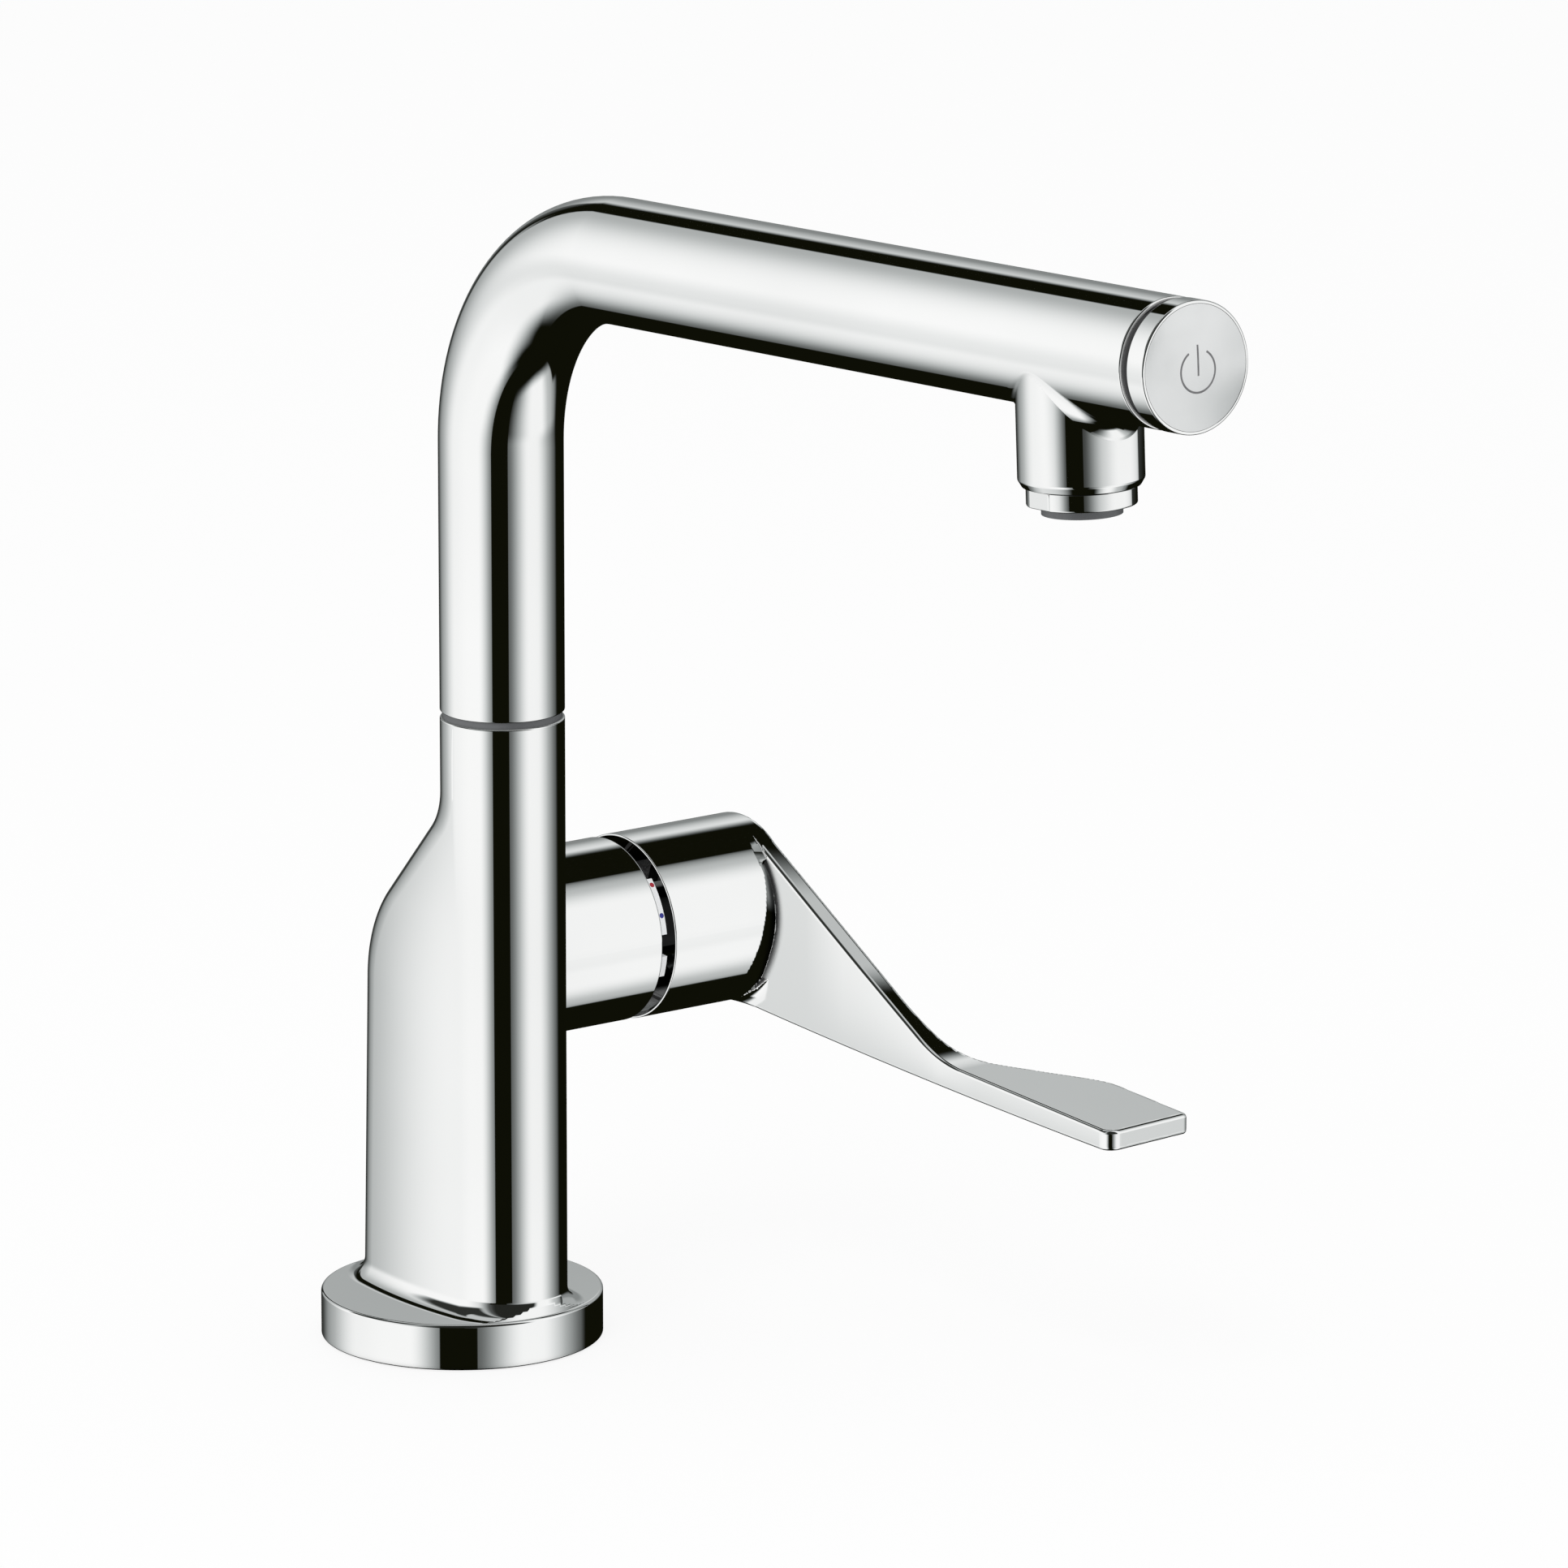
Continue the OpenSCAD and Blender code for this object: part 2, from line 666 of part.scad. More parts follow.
module button_cap() {
    color("silver") on_spout_axis(button_s) difference() {
        union() {
            cylinder(r = button_r, h = button_h);
            translate([0, 0, -skirt_len]) cylinder(r = skirt_out, h = skirt_len + eps);
        }
        translate([0, 0, button_h - inlay_t]) cylinder(r = disc_inlay_d / 2 + seat_gap, h = inlay_t + eps);
        translate([0, 0, -skirt_len - eps]) ring(skirt_in, rod_boss_r, skirt_len + cap_hollow + eps);
        translate([0, 0, -skirt_len - eps]) cylinder(r = rod_boss_r + eps, h = skirt_len - boss_short + eps);
        translate([0, 0, -skirt_len - eps]) cylinder(r = rod_r + press_gap, h = skirt_len + rod_hold + eps);
    }
}

// Plain power symbol: an open ring with a bar through the gap
module standby_shape(h) {
    translate([0, -symbol_drop, 0]) {
        ring_part(symbol_r + symbol_line / 2, symbol_r - symbol_line / 2, h,
            90 + symbol_gap / 2, 450 - symbol_gap / 2);
        translate([-symbol_line / 2, symbol_r + 1 - symbol_bar, 0]) cube([symbol_line, symbol_bar, h]);
    }
}

module button_disc() {
    color("lightgray") difference() {
        on_spout_axis(button_face - inlay_t) cylinder(r = disc_inlay_d / 2, h = inlay_t);
        on_spout_axis(button_face - symbol_depth) standby_shape(symbol_depth + eps);
    }
}

module standby_symbol() {
    color("gray") on_spout_axis(button_face - symbol_depth) standby_shape(symbol_depth);
}

// Valve disc and rod, pushed back by the button
module push_rod() {
    rod_end = button_s + rod_hold;
    poppet_s = seat_s - seat_gap - poppet_seal_t - poppet_t;
    color("gray") on_spout_axis(poppet_s) {
        cylinder(r = poppet_r, h = poppet_t);
        cylinder(r = rod_r, h = rod_end - poppet_s);
    }
}

module poppet_seal() {
    color("black") on_spout_axis(seat_s - seat_gap - poppet_seal_t)
        ring(poppet_r - poppet_seal_in, rod_r, poppet_seal_t);
}

// Helical spring between the rod guide and the button
function spring_point(i, j) =
    let (a = 360 * i / spring_rings, b = 360 * j / spring_sides, r = spring_r + spring_wire * cos(b))
    [r * cos(a), r * sin(a), (spring_s1 - spring_s0) * i / spring_steps + spring_wire * sin(b)];
module return_spring() {
    n = spring_sides;
    m = spring_steps;
    color("gray") on_spout_axis(spring_s0) polyhedron(
        points = [for (i = [0 : m]) for (j = [0 : n - 1]) spring_point(i, j)],
        faces = concat(
            [[for (j = [0 : n - 1]) j]],
            [[for (j = [n - 1 : -1 : 0]) m * n + j]],
            [for (i = [0 : m - 1]) for (j = [0 : n - 1])
                [i * n + j, (i + 1) * n + j, i * n + (j + 1) % n]],
            [for (i = [0 : m - 1]) for (j = [0 : n - 1])
                [i * n + (j + 1) % n, (i + 1) * n + j, (i + 1) * n + (j + 1) % n]]
        ));
}

// A bore along the hub axis through each of the three ports, from x on
module port_holes(x, extra, h) {
    for (i = [0 : 2]) translate([x, port_y(i), port_z(i)]) rotate([0, 90, 0])
        cylinder(r = port_size(i) + extra, h = h);
}

module cartridge_base() {
    color("gray") difference() {
        on_hub_axis(floor_x) cylinder(r = cartridge_r, h = base_t);
        port_holes(floor_x - eps, 0, base_t + 2 * eps);
        port_holes(floor_x - eps, port_seal_w + pass_gap, port_seal_t + pass_gap + eps);
    }
}

module cartridge_port_seals() {
    color("black") for (i = [0 : 2]) translate([floor_x, port_y(i), port_z(i)]) rotate([0, 90, 0])
        ring(port_size(i) + port_seal_w, port_size(i), port_seal_t);
}

module fixed_ceramic_disc() {
    color("ivory") difference() {
        on_hub_axis(fixed_disc_x) cylinder(r = fixed_disc_r, h = fixed_disc_t);
        port_holes(fixed_disc_x - eps, 0, fixed_disc_t + 2 * eps);
    }
}

module moving_ceramic_disc() {
    color("ivory") on_hub_axis(moving_disc_x) difference() {
        cylinder(r = moving_disc_r, h = moving_disc_t);
        translate([0, pocket_off, -eps]) cylinder(r = pocket_r, h = pocket_depth + eps);
    }
}

// Plastic cap on the moving disc with a socket for the stem's ball
module disc_driver() {
    color("orange") on_hub_axis(driver_x) difference() {
        cylinder(r = driver_r, h = driver_t);
        translate([0, 0, -eps]) cylinder(r = ball_r + ball_room, h = driver_t + 2 * eps);
    }
}

module cartridge_housing() {
    color("lightgray") union() {
        difference() {
            union() {
                on_hub_axis(fixed_disc_x) cylinder(r = cartridge_r, h = housing_step_x - fixed_disc_x);
                on_hub_axis(housing_step_x - eps)
                    cylinder(r = housing_neck_r, h = housing_end - housing_step_x + eps);
            }
            on_hub_axis(fixed_disc_x - eps) cylinder(r = cavity_r, h = cavity_end - fixed_disc_x + eps);
            on_hub_axis(fixed_disc_x) cylinder(r = carrier_r + run_gap, h = hub_end);
        }
        on_hub_axis(carrier_x)
            ring_part(cavity_r + eps, carrier_rim_r + pass_gap, cavity_end + eps - carrier_x,
                90 + cold_limit + lug_turn + lug_play, 450 - hot_limit - lug_turn - lug_play);
    }
}

module retaining_nut() {
    color("goldenrod") on_hub_axis(housing_step_x)
        ring(nut_r, housing_neck_r + pass_gap, nut_end - housing_step_x);
}

// Dark dome behind the lever's sleeve, centred on the lever's pivot
module dome_cap() {
    color("black") difference() {
        intersection() {
            on_hub_axis(pivot_x) sphere(r = dome_r);
            on_hub_axis(dome_x) cylinder(r = dome_r, h = dome_r);
        }
        on_hub_axis(pivot_x) sphere(r = dome_r - dome_wall);
        on_hub_axis(dome_x) cylinder(r = dome_mouth, h = dome_r);
    }
}

// Angles here run from the lever's forward direction upwards
module on_rim(x) { translate([x, 0, hub_z]) rotate([0, 90, 0]) rotate([0, 0, -90]) children(); }

module indicator_ring() {
    color("white") difference() {
        union() {
            on_rim(hub_end - hoop_depth) ring(hoop_out, hoop_in, hoop_depth);
            for (span = tab_spans) on_rim(hub_end) rotate([0, 0, -span[1]])
                rotate_extrude(angle = span[1] - span[0]) polygon([
                    [hoop_in + pass_gap, -tab_root], [hoop_out - pass_gap, -tab_root],
                    [hoop_out - pass_gap, 0], [tab_out, 0], [tab_out, tab_h], [hoop_in + pass_gap, tab_h]
                ]);
        }
        for (a = [hot_turn, cold_turn]) mark(a, mark_t + eps);
    }
}
// A round mark sunk in the ring's outer face at an angle
module mark(a, h) {
    on_rim(hub_end + tab_h / 2) rotate([0, 0, -a]) translate([tab_out - mark_t, 0, 0]) rotate([0, 90, 0])
        cylinder(r = mark_r, h = h);
}
module hot_mark() { color("red") mark(hot_turn, mark_t - seat_gap); }
module cold_mark() { color("blue") mark(cold_turn, mark_t - seat_gap); }

// Turns in the cartridge housing with the lever and carries its pivot pin
module spindle_carrier() {
    color("white") on_hub_axis(carrier_x) difference() {
        union() {
            cylinder(r = carrier_r, h = carrier_len);
            cylinder(r = carrier_rim_r, h = carrier_rim_t);
            ring_part(cavity_r - pass_gap, carrier_r - eps, carrier_rim_t, 90 - lug_turn, 90 + lug_turn);
        }
        translate([-stem_w / 2 - run_gap, -slot_half, -eps])
            cube([stem_w + 2 * run_gap, 2 * slot_half, carrier_len + 2 * eps]);
        translate([-carrier_r - eps, 0, pivot_x - carrier_x]) rotate([0, 90, 0])
            cylinder(r = pin_r + press_gap, h = 2 * (carrier_r + eps));
    }
}

module pivot_pin() {
    color("gray") translate([pivot_x, 0, hub_z - pin_half]) cylinder(r = pin_r, h = 2 * pin_half);
}

module lever_stem() {
    color("gray") difference() {
        union() {
            on_hub_axis(pivot_x - ball_arm) sphere(r = ball_r);
            on_hub_axis(pivot_x - ball_arm)
                cylinder(r = ball_neck_r, h = stem_in_x - pivot_x + ball_arm + eps);
            on_hub_axis(stem_in_x) translate([-stem_w / 2, -stem_w / 2, 0])
                cube([stem_w, stem_w, stem_out_x - stem_in_x]);
        }
        translate([pivot_x, 0, hub_z - pin_half]) cylinder(r = pin_r + run_gap, h = 2 * pin_half);
    }
}

// Lever blade seen from the side: distance forward of the hub axis and height over it
function heel(t) = -(sleeve_r - blade_tuck) - heel_slope * t + heel_curve * t * t;
edge_height = (sleeve_r - blade_tuck) / cos(edge_slope);
bend_t = (edge_height - grip_top) / (tan(edge_slope) - tan(grip_slope));
bend_half = (edge_slope - grip_slope) / 2;
bend_run = grip_bend_r * tan(bend_half);
bend_centre = [bend_t + bend_run * cos(grip_slope) + grip_bend_r * sin(grip_slope),
    edge_height - tan(edge_slope) * bend_t - bend_run * sin(grip_slope) + grip_bend_r * cos(grip_slope)];
blade_side = concat(
    [for (i = [0 : curve_steps]) let (t = lever_reach * i / curve_steps) [-t, heel(t)]],
    [[-lever_reach, grip_top - tan(grip_slope) * lever_reach]],
    [for (i = [0 : curve_steps]) let (a = grip_slope + (edge_slope - grip_slope) * i / curve_steps)
        [-bend_centre[0] + grip_bend_r * sin(a), bend_centre[1] - grip_bend_r * cos(a)]],
    [[-(sleeve_r - blade_tuck) * sin(edge_slope), (sleeve_r - blade_tuck) * cos(edge_slope)],
        [blade_root, blade_root], [blade_root, -blade_root]]
);
// Lever blade seen from above: distance out along the hub axis and forward of it
grip_x = blade_x + grip_w;
flare_out = flare_r * (1 - cos(flare_angle));
corner_out = flare_corner_r * (1 - cos(flare_angle));
flare_line = (grip_x - sleeve_end - flare_out - corner_out) / tan(flare_angle);
corner_t = flare_start + flare_r * sin(flare_angle) + flare_line + flare_corner_r * sin(flare_angle);
blade_plan = concat(
    [[blade_x, blade_root], [blade_x, tip_round - lever_reach], [blade_x + tip_round, -lever_reach]],
    [[grip_x - tip_round, tip_skew - lever_reach], [grip_x, tip_skew + tip_round - lever_reach]],
    [for (i = [0 : curve_steps]) let (a = flare_angle * i / curve_steps)
        [grip_x - flare_corner_r * (1 - cos(a)), -corner_t + flare_corner_r * sin(a)]],
    [for (i = [curve_steps : -1 : 0]) let (a = flare_angle * i / curve_steps)
        [sleeve_end + flare_r * (1 - cos(a)), -flare_start - flare_r * sin(a)]],
    [[sleeve_end, blade_root]]
);

module lever_blade() {
    intersection() {
        translate([blade_x, 0, hub_z]) rotate([90, 0, 90])
            linear_extrude(height = grip_w + eps) polygon(blade_side);
        translate([0, 0, hub_z - 2 * sleeve_r])
            linear_extrude(height = 4 * sleeve_r) polygon(blade_plan);
    }
}

module lever_handle() {
    color("silver") difference() {
        union() {
            on_hub_axis(0) rotate_extrude() polygon([
                [sleeve_r, sleeve_x], [sleeve_r, sleeve_end], [0, sleeve_end], [0, boss_x],
                [boss_r, boss_x], [boss_r, sleeve_end - end_wall], [sleeve_deep_in, sleeve_end - end_wall],
                [sleeve_deep_in, sleeve_step_x], [sleeve_in, sleeve_step_x], [sleeve_in, sleeve_x]
            ]);
            lever_blade();
        }
        on_hub_axis(boss_x - eps) translate([-stem_w / 2 - seat_gap, -stem_w / 2 - seat_gap, 0])
            cube([stem_w + 2 * seat_gap, stem_w + 2 * seat_gap, stem_out_x - boss_x + pipe_gap + eps]);
        translate([grub_x, 0, hub_z - boss_r - eps]) cylinder(r = grub_r, h = boss_r + eps);
        translate([grub_x, 0, hub_z - sleeve_r - eps]) cylinder(r = plug_r, h = sleeve_r - boss_r);
    }
}

// Fixes the handle on the stem, reached through the plugged hole
module grub_screw() {
    color("gray") translate([grub_x, 0, hub_z - boss_r]) difference() {
        cylinder(r = grub_r - press_gap, h = boss_r - stem_w / 2);
        translate([0, 0, -eps]) cylinder(r = grub_key_r, h = grub_key_depth + eps, $fn = 6);
    }
}

module screw_plug() {
    color("silver") translate([grub_x, 0, hub_z - sleeve_r + plug_inset])
        cylinder(r = plug_r - seat_gap, h = plug_t);
}

body();
deck_gasket();
spout_post();
stop_pin();
slip_ring();
lower_glide_ring();
upper_glide_ring();
post_o_rings();
retaining_clip();
spout();
spout_socket();
waterway_tube();
valve_housing();
housing_seals();
valve_seat();
rod_guide();
rod_seal();
aerator_collar();
aerator_seal();
flow_screen();
aerator_insert();
button_cap();
button_disc();
standby_symbol();
push_rod();
poppet_seal();
return_spring();
cartridge_base();
cartridge_port_seals();
fixed_ceramic_disc();
cartridge_housing();
retaining_nut();
dome_cap();
indicator_ring();
hot_mark();
cold_mark();
spindle_carrier();
pivot_pin();
moving_ceramic_disc();
disc_driver();
lever_stem();
lever_handle();
grub_screw();
screw_plug();
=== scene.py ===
import json
import math

import bpy
import numpy as np
from mathutils import Matrix, Vector
from mathutils.geometry import delaunay_2d_cdt

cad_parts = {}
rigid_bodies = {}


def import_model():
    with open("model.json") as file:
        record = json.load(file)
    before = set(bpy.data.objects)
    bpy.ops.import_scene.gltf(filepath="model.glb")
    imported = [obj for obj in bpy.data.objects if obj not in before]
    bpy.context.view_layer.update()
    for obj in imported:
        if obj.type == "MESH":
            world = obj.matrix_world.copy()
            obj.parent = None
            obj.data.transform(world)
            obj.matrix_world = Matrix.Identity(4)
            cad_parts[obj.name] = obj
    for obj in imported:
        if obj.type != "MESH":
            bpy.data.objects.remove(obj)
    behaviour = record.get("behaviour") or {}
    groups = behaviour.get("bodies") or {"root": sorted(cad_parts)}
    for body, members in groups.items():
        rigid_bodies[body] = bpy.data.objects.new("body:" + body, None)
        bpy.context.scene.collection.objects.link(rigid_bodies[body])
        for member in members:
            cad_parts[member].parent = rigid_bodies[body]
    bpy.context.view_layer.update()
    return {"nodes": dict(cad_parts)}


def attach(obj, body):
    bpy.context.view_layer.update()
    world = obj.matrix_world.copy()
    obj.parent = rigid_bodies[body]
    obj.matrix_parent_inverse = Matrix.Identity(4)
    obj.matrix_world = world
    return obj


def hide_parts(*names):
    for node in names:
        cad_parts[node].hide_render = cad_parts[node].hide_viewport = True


for leftover in list(bpy.data.objects):
    bpy.data.objects.remove(leftover)
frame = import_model()

# Lengths are millimetres until a mesh is made
MM = 0.001

# Sizes shared with the CAD source
SWIVEL_Y = -16.9
TUBE_R = 14.0
TUBE_IN_R = 12.5
TUBE_FOOT = 148.6
ELBOW_R = 48.0
ELBOW_Z = 209.97
SPOUT_Z = 255.6
SPOUT_TURN = math.radians(87.1)
SPOUT_LEN = 237.5
OUTLET_S = 206.2
HUB_Z = 87.9
HUB_R = 21.1
PIVOT_X = 30.0
SLEEVE_R = 21.25


def unit(vector):
    vector = np.asarray(vector, float)
    return vector / np.linalg.norm(vector)


def place(origin, x_axis, y_axis):
    """A frame with its origin and axes, as a rotation and a shift."""
    x_axis = unit(x_axis)
    y_axis = unit(y_axis)
    return np.column_stack([x_axis, y_axis, np.cross(x_axis, y_axis)]), np.asarray(origin, float)


SPOUT_AXIS = np.array([0.0, -math.sin(SPOUT_TURN), math.cos(SPOUT_TURN)])
UP = place((0, 0, 0), (1, 0, 0), (0, 1, 0))
SWIVEL = place((0, SWIVEL_Y, 0), (1, 0, 0), (0, 1, 0))
HUB = place((0, 0, HUB_Z), (0, 0, -1), (0, 1, 0))
SPOUT = place((0, SWIVEL_Y, SPOUT_Z), (1, 0, 0), np.cross(SPOUT_AXIS, (1, 0, 0)))
OUTLET = place(np.array([0, SWIVEL_Y, SPOUT_Z]) + OUTLET_S * SPOUT_AXIS, (1, 0, 0), SPOUT_AXIS)


class Shape:
    """Points, their normals and the faces of one piece."""

    def __init__(self):
        self.points = []
        self.normals = []
        self.faces = []

    def add(self, points, normals, faces):
        start = len(self.points)
        self.points.extend(map(tuple, points))
        self.normals.extend(map(tuple, normals))
        self.faces.extend(tuple(start + i for i in face) for face in faces)

    def grid(self, points, normals, closed=True):
        """A grid of rings. Rings that shrink to a point become one point."""
        points = np.asarray(points, float)
        normals = np.asarray(normals, float)
        rings, count = points.shape[:2]
        flat, flat_normals, index = [], [], []
        for ring, ring_normals in zip(points, normals):
            if np.ptp(ring, axis=0).max() < 1e-6:
                index.append([len(flat)] * count)
                flat.append(ring[0])
                flat_normals.append(unit(ring_normals.mean(axis=0)))
            else:
                index.append(list(range(len(flat), len(flat) + count)))
                flat.extend(ring)
                flat_normals.extend(ring_normals)
        faces = []
        for k in range(rings - 1):
            if np.abs(points[k] - points[k + 1]).max() < 1e-6:
                continue
            for j in range(count if closed else count - 1):
                after = (j + 1) % count
                corners = [index[k][j], index[k][after], index[k + 1][after], index[k + 1][j]]
                face = list(dict.fromkeys(corners))
                if len(face) > 2:
                    faces.append(face)
        agree = 0.0
        for face in faces[:: max(1, len(faces) // 200)]:
            a, b, c = (np.asarray(flat[i]) for i in face[:3])
            agree += np.dot(np.cross(b - a, c - a), flat_normals[face[0]])
        if agree < 0:
            faces = [face[::-1] for face in faces]
        self.add(flat, flat_normals, faces)


def rounded(profile, steps=6):
    """Outline of (offset, height, edge radius) as points with outward normals, solid on the left."""
    corners = [(p[0], p[1], p[2] if len(p) > 2 else 0.0) for p in profile]
    spots = [np.array(p[:2], float) for p in corners]
    along = [unit(b - a) for a, b in zip(spots, spots[1:])]
    outward = [np.array([t[1], -t[0]]) for t in along]
    made = [(*spots[0], *outward[0])]
    for i in range(1, len(spots) - 1):
        before, after = along[i - 1], along[i]
        turn = math.atan2(before[0] * after[1] - before[1] * after[0], before @ after)
        radius = corners[i][2]
        if radius == 0.0 or abs(turn) < 1e-6:
            made.append((*spots[i], *outward[i - 1]))
            if abs(turn) > 1e-6:
                made.append((*spots[i], *outward[i]))
            continue
        first = spots[i] - before * radius * math.tan(abs(turn) / 2)
        side = -1.0 if turn > 0 else 1.0
        centre = first + side * radius * outward[i - 1]
        for k in range(steps + 1):
            angle = turn * k / steps
            c, s = math.cos(angle), math.sin(angle)
            n = outward[i - 1]
            normal = np.array([c * n[0] - s * n[1], s * n[0] + c * n[1]])
            made.append((*(centre - side * radius * normal), *normal))
    made.append((*spots[-1], *outward[-1]))
    return made


def circle(count=144):
    turns = np.linspace(0, 2 * math.pi, count, endpoint=False)
    return np.zeros((count, 2)), np.column_stack([np.cos(turns), np.sin(turns)])


def extrude(shape, outline, profile, where):
    """Sweeps a profile round an outline given as base points and directions."""
    base, ways = outline
    turn, shift = where
    points, normals = [], []
    for offset, height, out, rise in profile:
        flat = base + offset * ways
        local = np.column_stack([flat, np.full(len(flat), height)])
        tilt = np.column_stack([out * ways, np.full(len(flat), rise)])
        points.append(local @ turn.T + shift)
        normals.append(tilt @ turn.T)
    shape.grid(points, normals)


def lathe(shape, profile, where, count=144, steps=6):
    extrude(shape, circle(count), rounded(profile, steps), where)


def piece(name, shape, material, body, nodes):
    """Makes the Blender object of a piece and ties it to the frame."""
    mesh = bpy.data.meshes.new(name)
    mesh.from_pydata([tuple(c * MM for c in p) for p in shape.points], [], shape.faces)
    mesh.polygons.foreach_set("use_smooth", [True] * len(mesh.polygons))
    mesh.normals_split_custom_set_from_vertices([tuple(unit(n)) for n in shape.normals])
    mesh.materials.append(material)
    obj = bpy.data.objects.new(name, mesh)
    bpy.context.scene.collection.objects.link(obj)
    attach(obj, body)
    if nodes:
        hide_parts(*nodes)
    return obj


def net(solid, axes):
    """Mesh of the surface where solid(x, y, z) is zero, with its points drawn onto that surface."""
    value = solid(*np.meshgrid(*axes, indexing="ij"))
    inside = value < 0
    cells = tuple(n - 1 for n in value.shape)
    total = np.zeros(cells + (3,))
    hits = np.zeros(cells)
    crossings = []
    for a in range(3):
        b, c = (a + 1) % 3, (a + 2) % 3
        first = [slice(None)] * 3
        second = [slice(None)] * 3
        first[a] = slice(0, -1)
        second[a] = slice(1, None)
        first, second = tuple(first), tuple(second)
        at = np.argwhere(inside[first] != inside[second])
        at = at[(at[:, b] > 0) & (at[:, c] > 0) & (at[:, b] < cells[b]) & (at[:, c] < cells[c])]
        ends = at.copy()
        ends[:, a] += 1
        v0 = value[tuple(at.T)]
        v1 = value[tuple(ends.T)]
        spot = np.column_stack([axes[i][at[:, i]] for i in range(3)])
        spot[:, a] += (axes[a][ends[:, a]] - spot[:, a]) * v0 / (v0 - v1)
        around = []
        for db, dc in ((-1, -1), (0, -1), (0, 0), (-1, 0)):
            cell = at.copy()
            cell[:, b] += db
            cell[:, c] += dc
            np.add.at(total, tuple(cell.T), spot)
            np.add.at(hits, tuple(cell.T), 1)
            around.append(cell)
        crossings.append((around, v0 < 0))
    used = np.argwhere(hits > 0)
    number = np.full(cells, -1)
    number[tuple(used.T)] = np.arange(len(used))
    points = total[tuple(used.T)] / hits[tuple(used.T)][:, None]
    faces = []
    for around, outward in crossings:
        quads = np.column_stack([number[tuple(cell.T)] for cell in around])
        quads[~outward] = quads[~outward][:, ::-1]
        faces.extend(map(tuple, quads.tolist()))

    def slope(spots):
        near = 0.01
        columns = []
        for i in range(3):
            step_out = np.zeros(3)
            step_out[i] = near
            ahead = solid(*(spots + step_out).T)
            behind = solid(*(spots - step_out).T)
            columns.append((ahead - behind) / (2 * near))
        return np.column_stack(columns)

    for _ in range(5):
        gradient = slope(points)
        size = np.maximum((gradient ** 2).sum(axis=1), 0.25)
        points = points - (solid(*points.T) / size)[:, None] * gradient
    gradient = slope(points)
    length = np.maximum(np.linalg.norm(gradient, axis=1), 1e-6)
    return points, gradient / length[:, None], faces


def join_round(a, b, radius):
    """Where both distances are negative, with the edge between them rounded."""
    outside = np.hypot(np.maximum(radius + a, 0), np.maximum(radius + b, 0))
    return np.minimum(-radius, np.maximum(a, b)) + outside


# Materials


def tree_of(material):
    material.use_nodes = True
    tree = material.node_tree
    tree.nodes.clear()
    output = tree.nodes.new("ShaderNodeOutputMaterial")
    shader = tree.nodes.new("ShaderNodeBsdfPrincipled")
    tree.links.new(shader.outputs["BSDF"], output.inputs["Surface"])
    return tree, shader


def noise(tree, scale, detail=3.0, rough=0.5):
    coordinates = tree.nodes.new("ShaderNodeTexCoord")
    node = tree.nodes.new("ShaderNodeTexNoise")
    node.inputs["Scale"].default_value = scale
    node.inputs["Detail"].default_value = detail
    node.inputs["Roughness"].default_value = rough
    tree.links.new(coordinates.outputs["Object"], node.inputs["Vector"])
    return node.outputs["Fac"]


def spread(tree, value, low, high):
    """Maps the middle of a noise onto low to high."""
    node = tree.nodes.new("ShaderNodeMapRange")
    node.inputs["From Min"].default_value = 0.3
    node.inputs["From Max"].default_value = 0.7
    node.inputs["To Min"].default_value = low
    node.inputs["To Max"].default_value = high
    tree.links.new(value, node.inputs["Value"])
    return node.outputs["Result"]


def finish(name, dark, pale, metallic, rough, tone_scale, grain_scale, grain_depth, specular=0.5):
    """A finish whose colour and roughness drift, with a fine grain."""
    material = bpy.data.materials.new(name)
    tree, shader = tree_of(material)
    mix = tree.nodes.new("ShaderNodeMix")
    mix.data_type = "RGBA"
    mix.inputs["A"].default_value = (*dark, 1)
    mix.inputs["B"].default_value = (*pale, 1)
    tree.links.new(spread(tree, noise(tree, tone_scale), 0, 1), mix.inputs["Factor"])
    tree.links.new(mix.outputs["Result"], shader.inputs["Base Color"])
    drift = noise(tree, tone_scale * 3.1, 4.0)
    tree.links.new(spread(tree, drift, *rough), shader.inputs["Roughness"])
    bump = tree.nodes.new("ShaderNodeBump")
    bump.inputs["Strength"].default_value = 1.0
    bump.inputs["Distance"].default_value = grain_depth
    tree.links.new(noise(tree, grain_scale), bump.inputs["Height"])
    tree.links.new(bump.outputs["Normal"], shader.inputs["Normal"])
    shader.inputs["Metallic"].default_value = metallic
    shader.inputs["Specular IOR Level"].default_value = specular
    return material


CHROME_DARK = (0.90, 0.905, 0.90)
CHROME_PALE = (0.945, 0.95, 0.945)
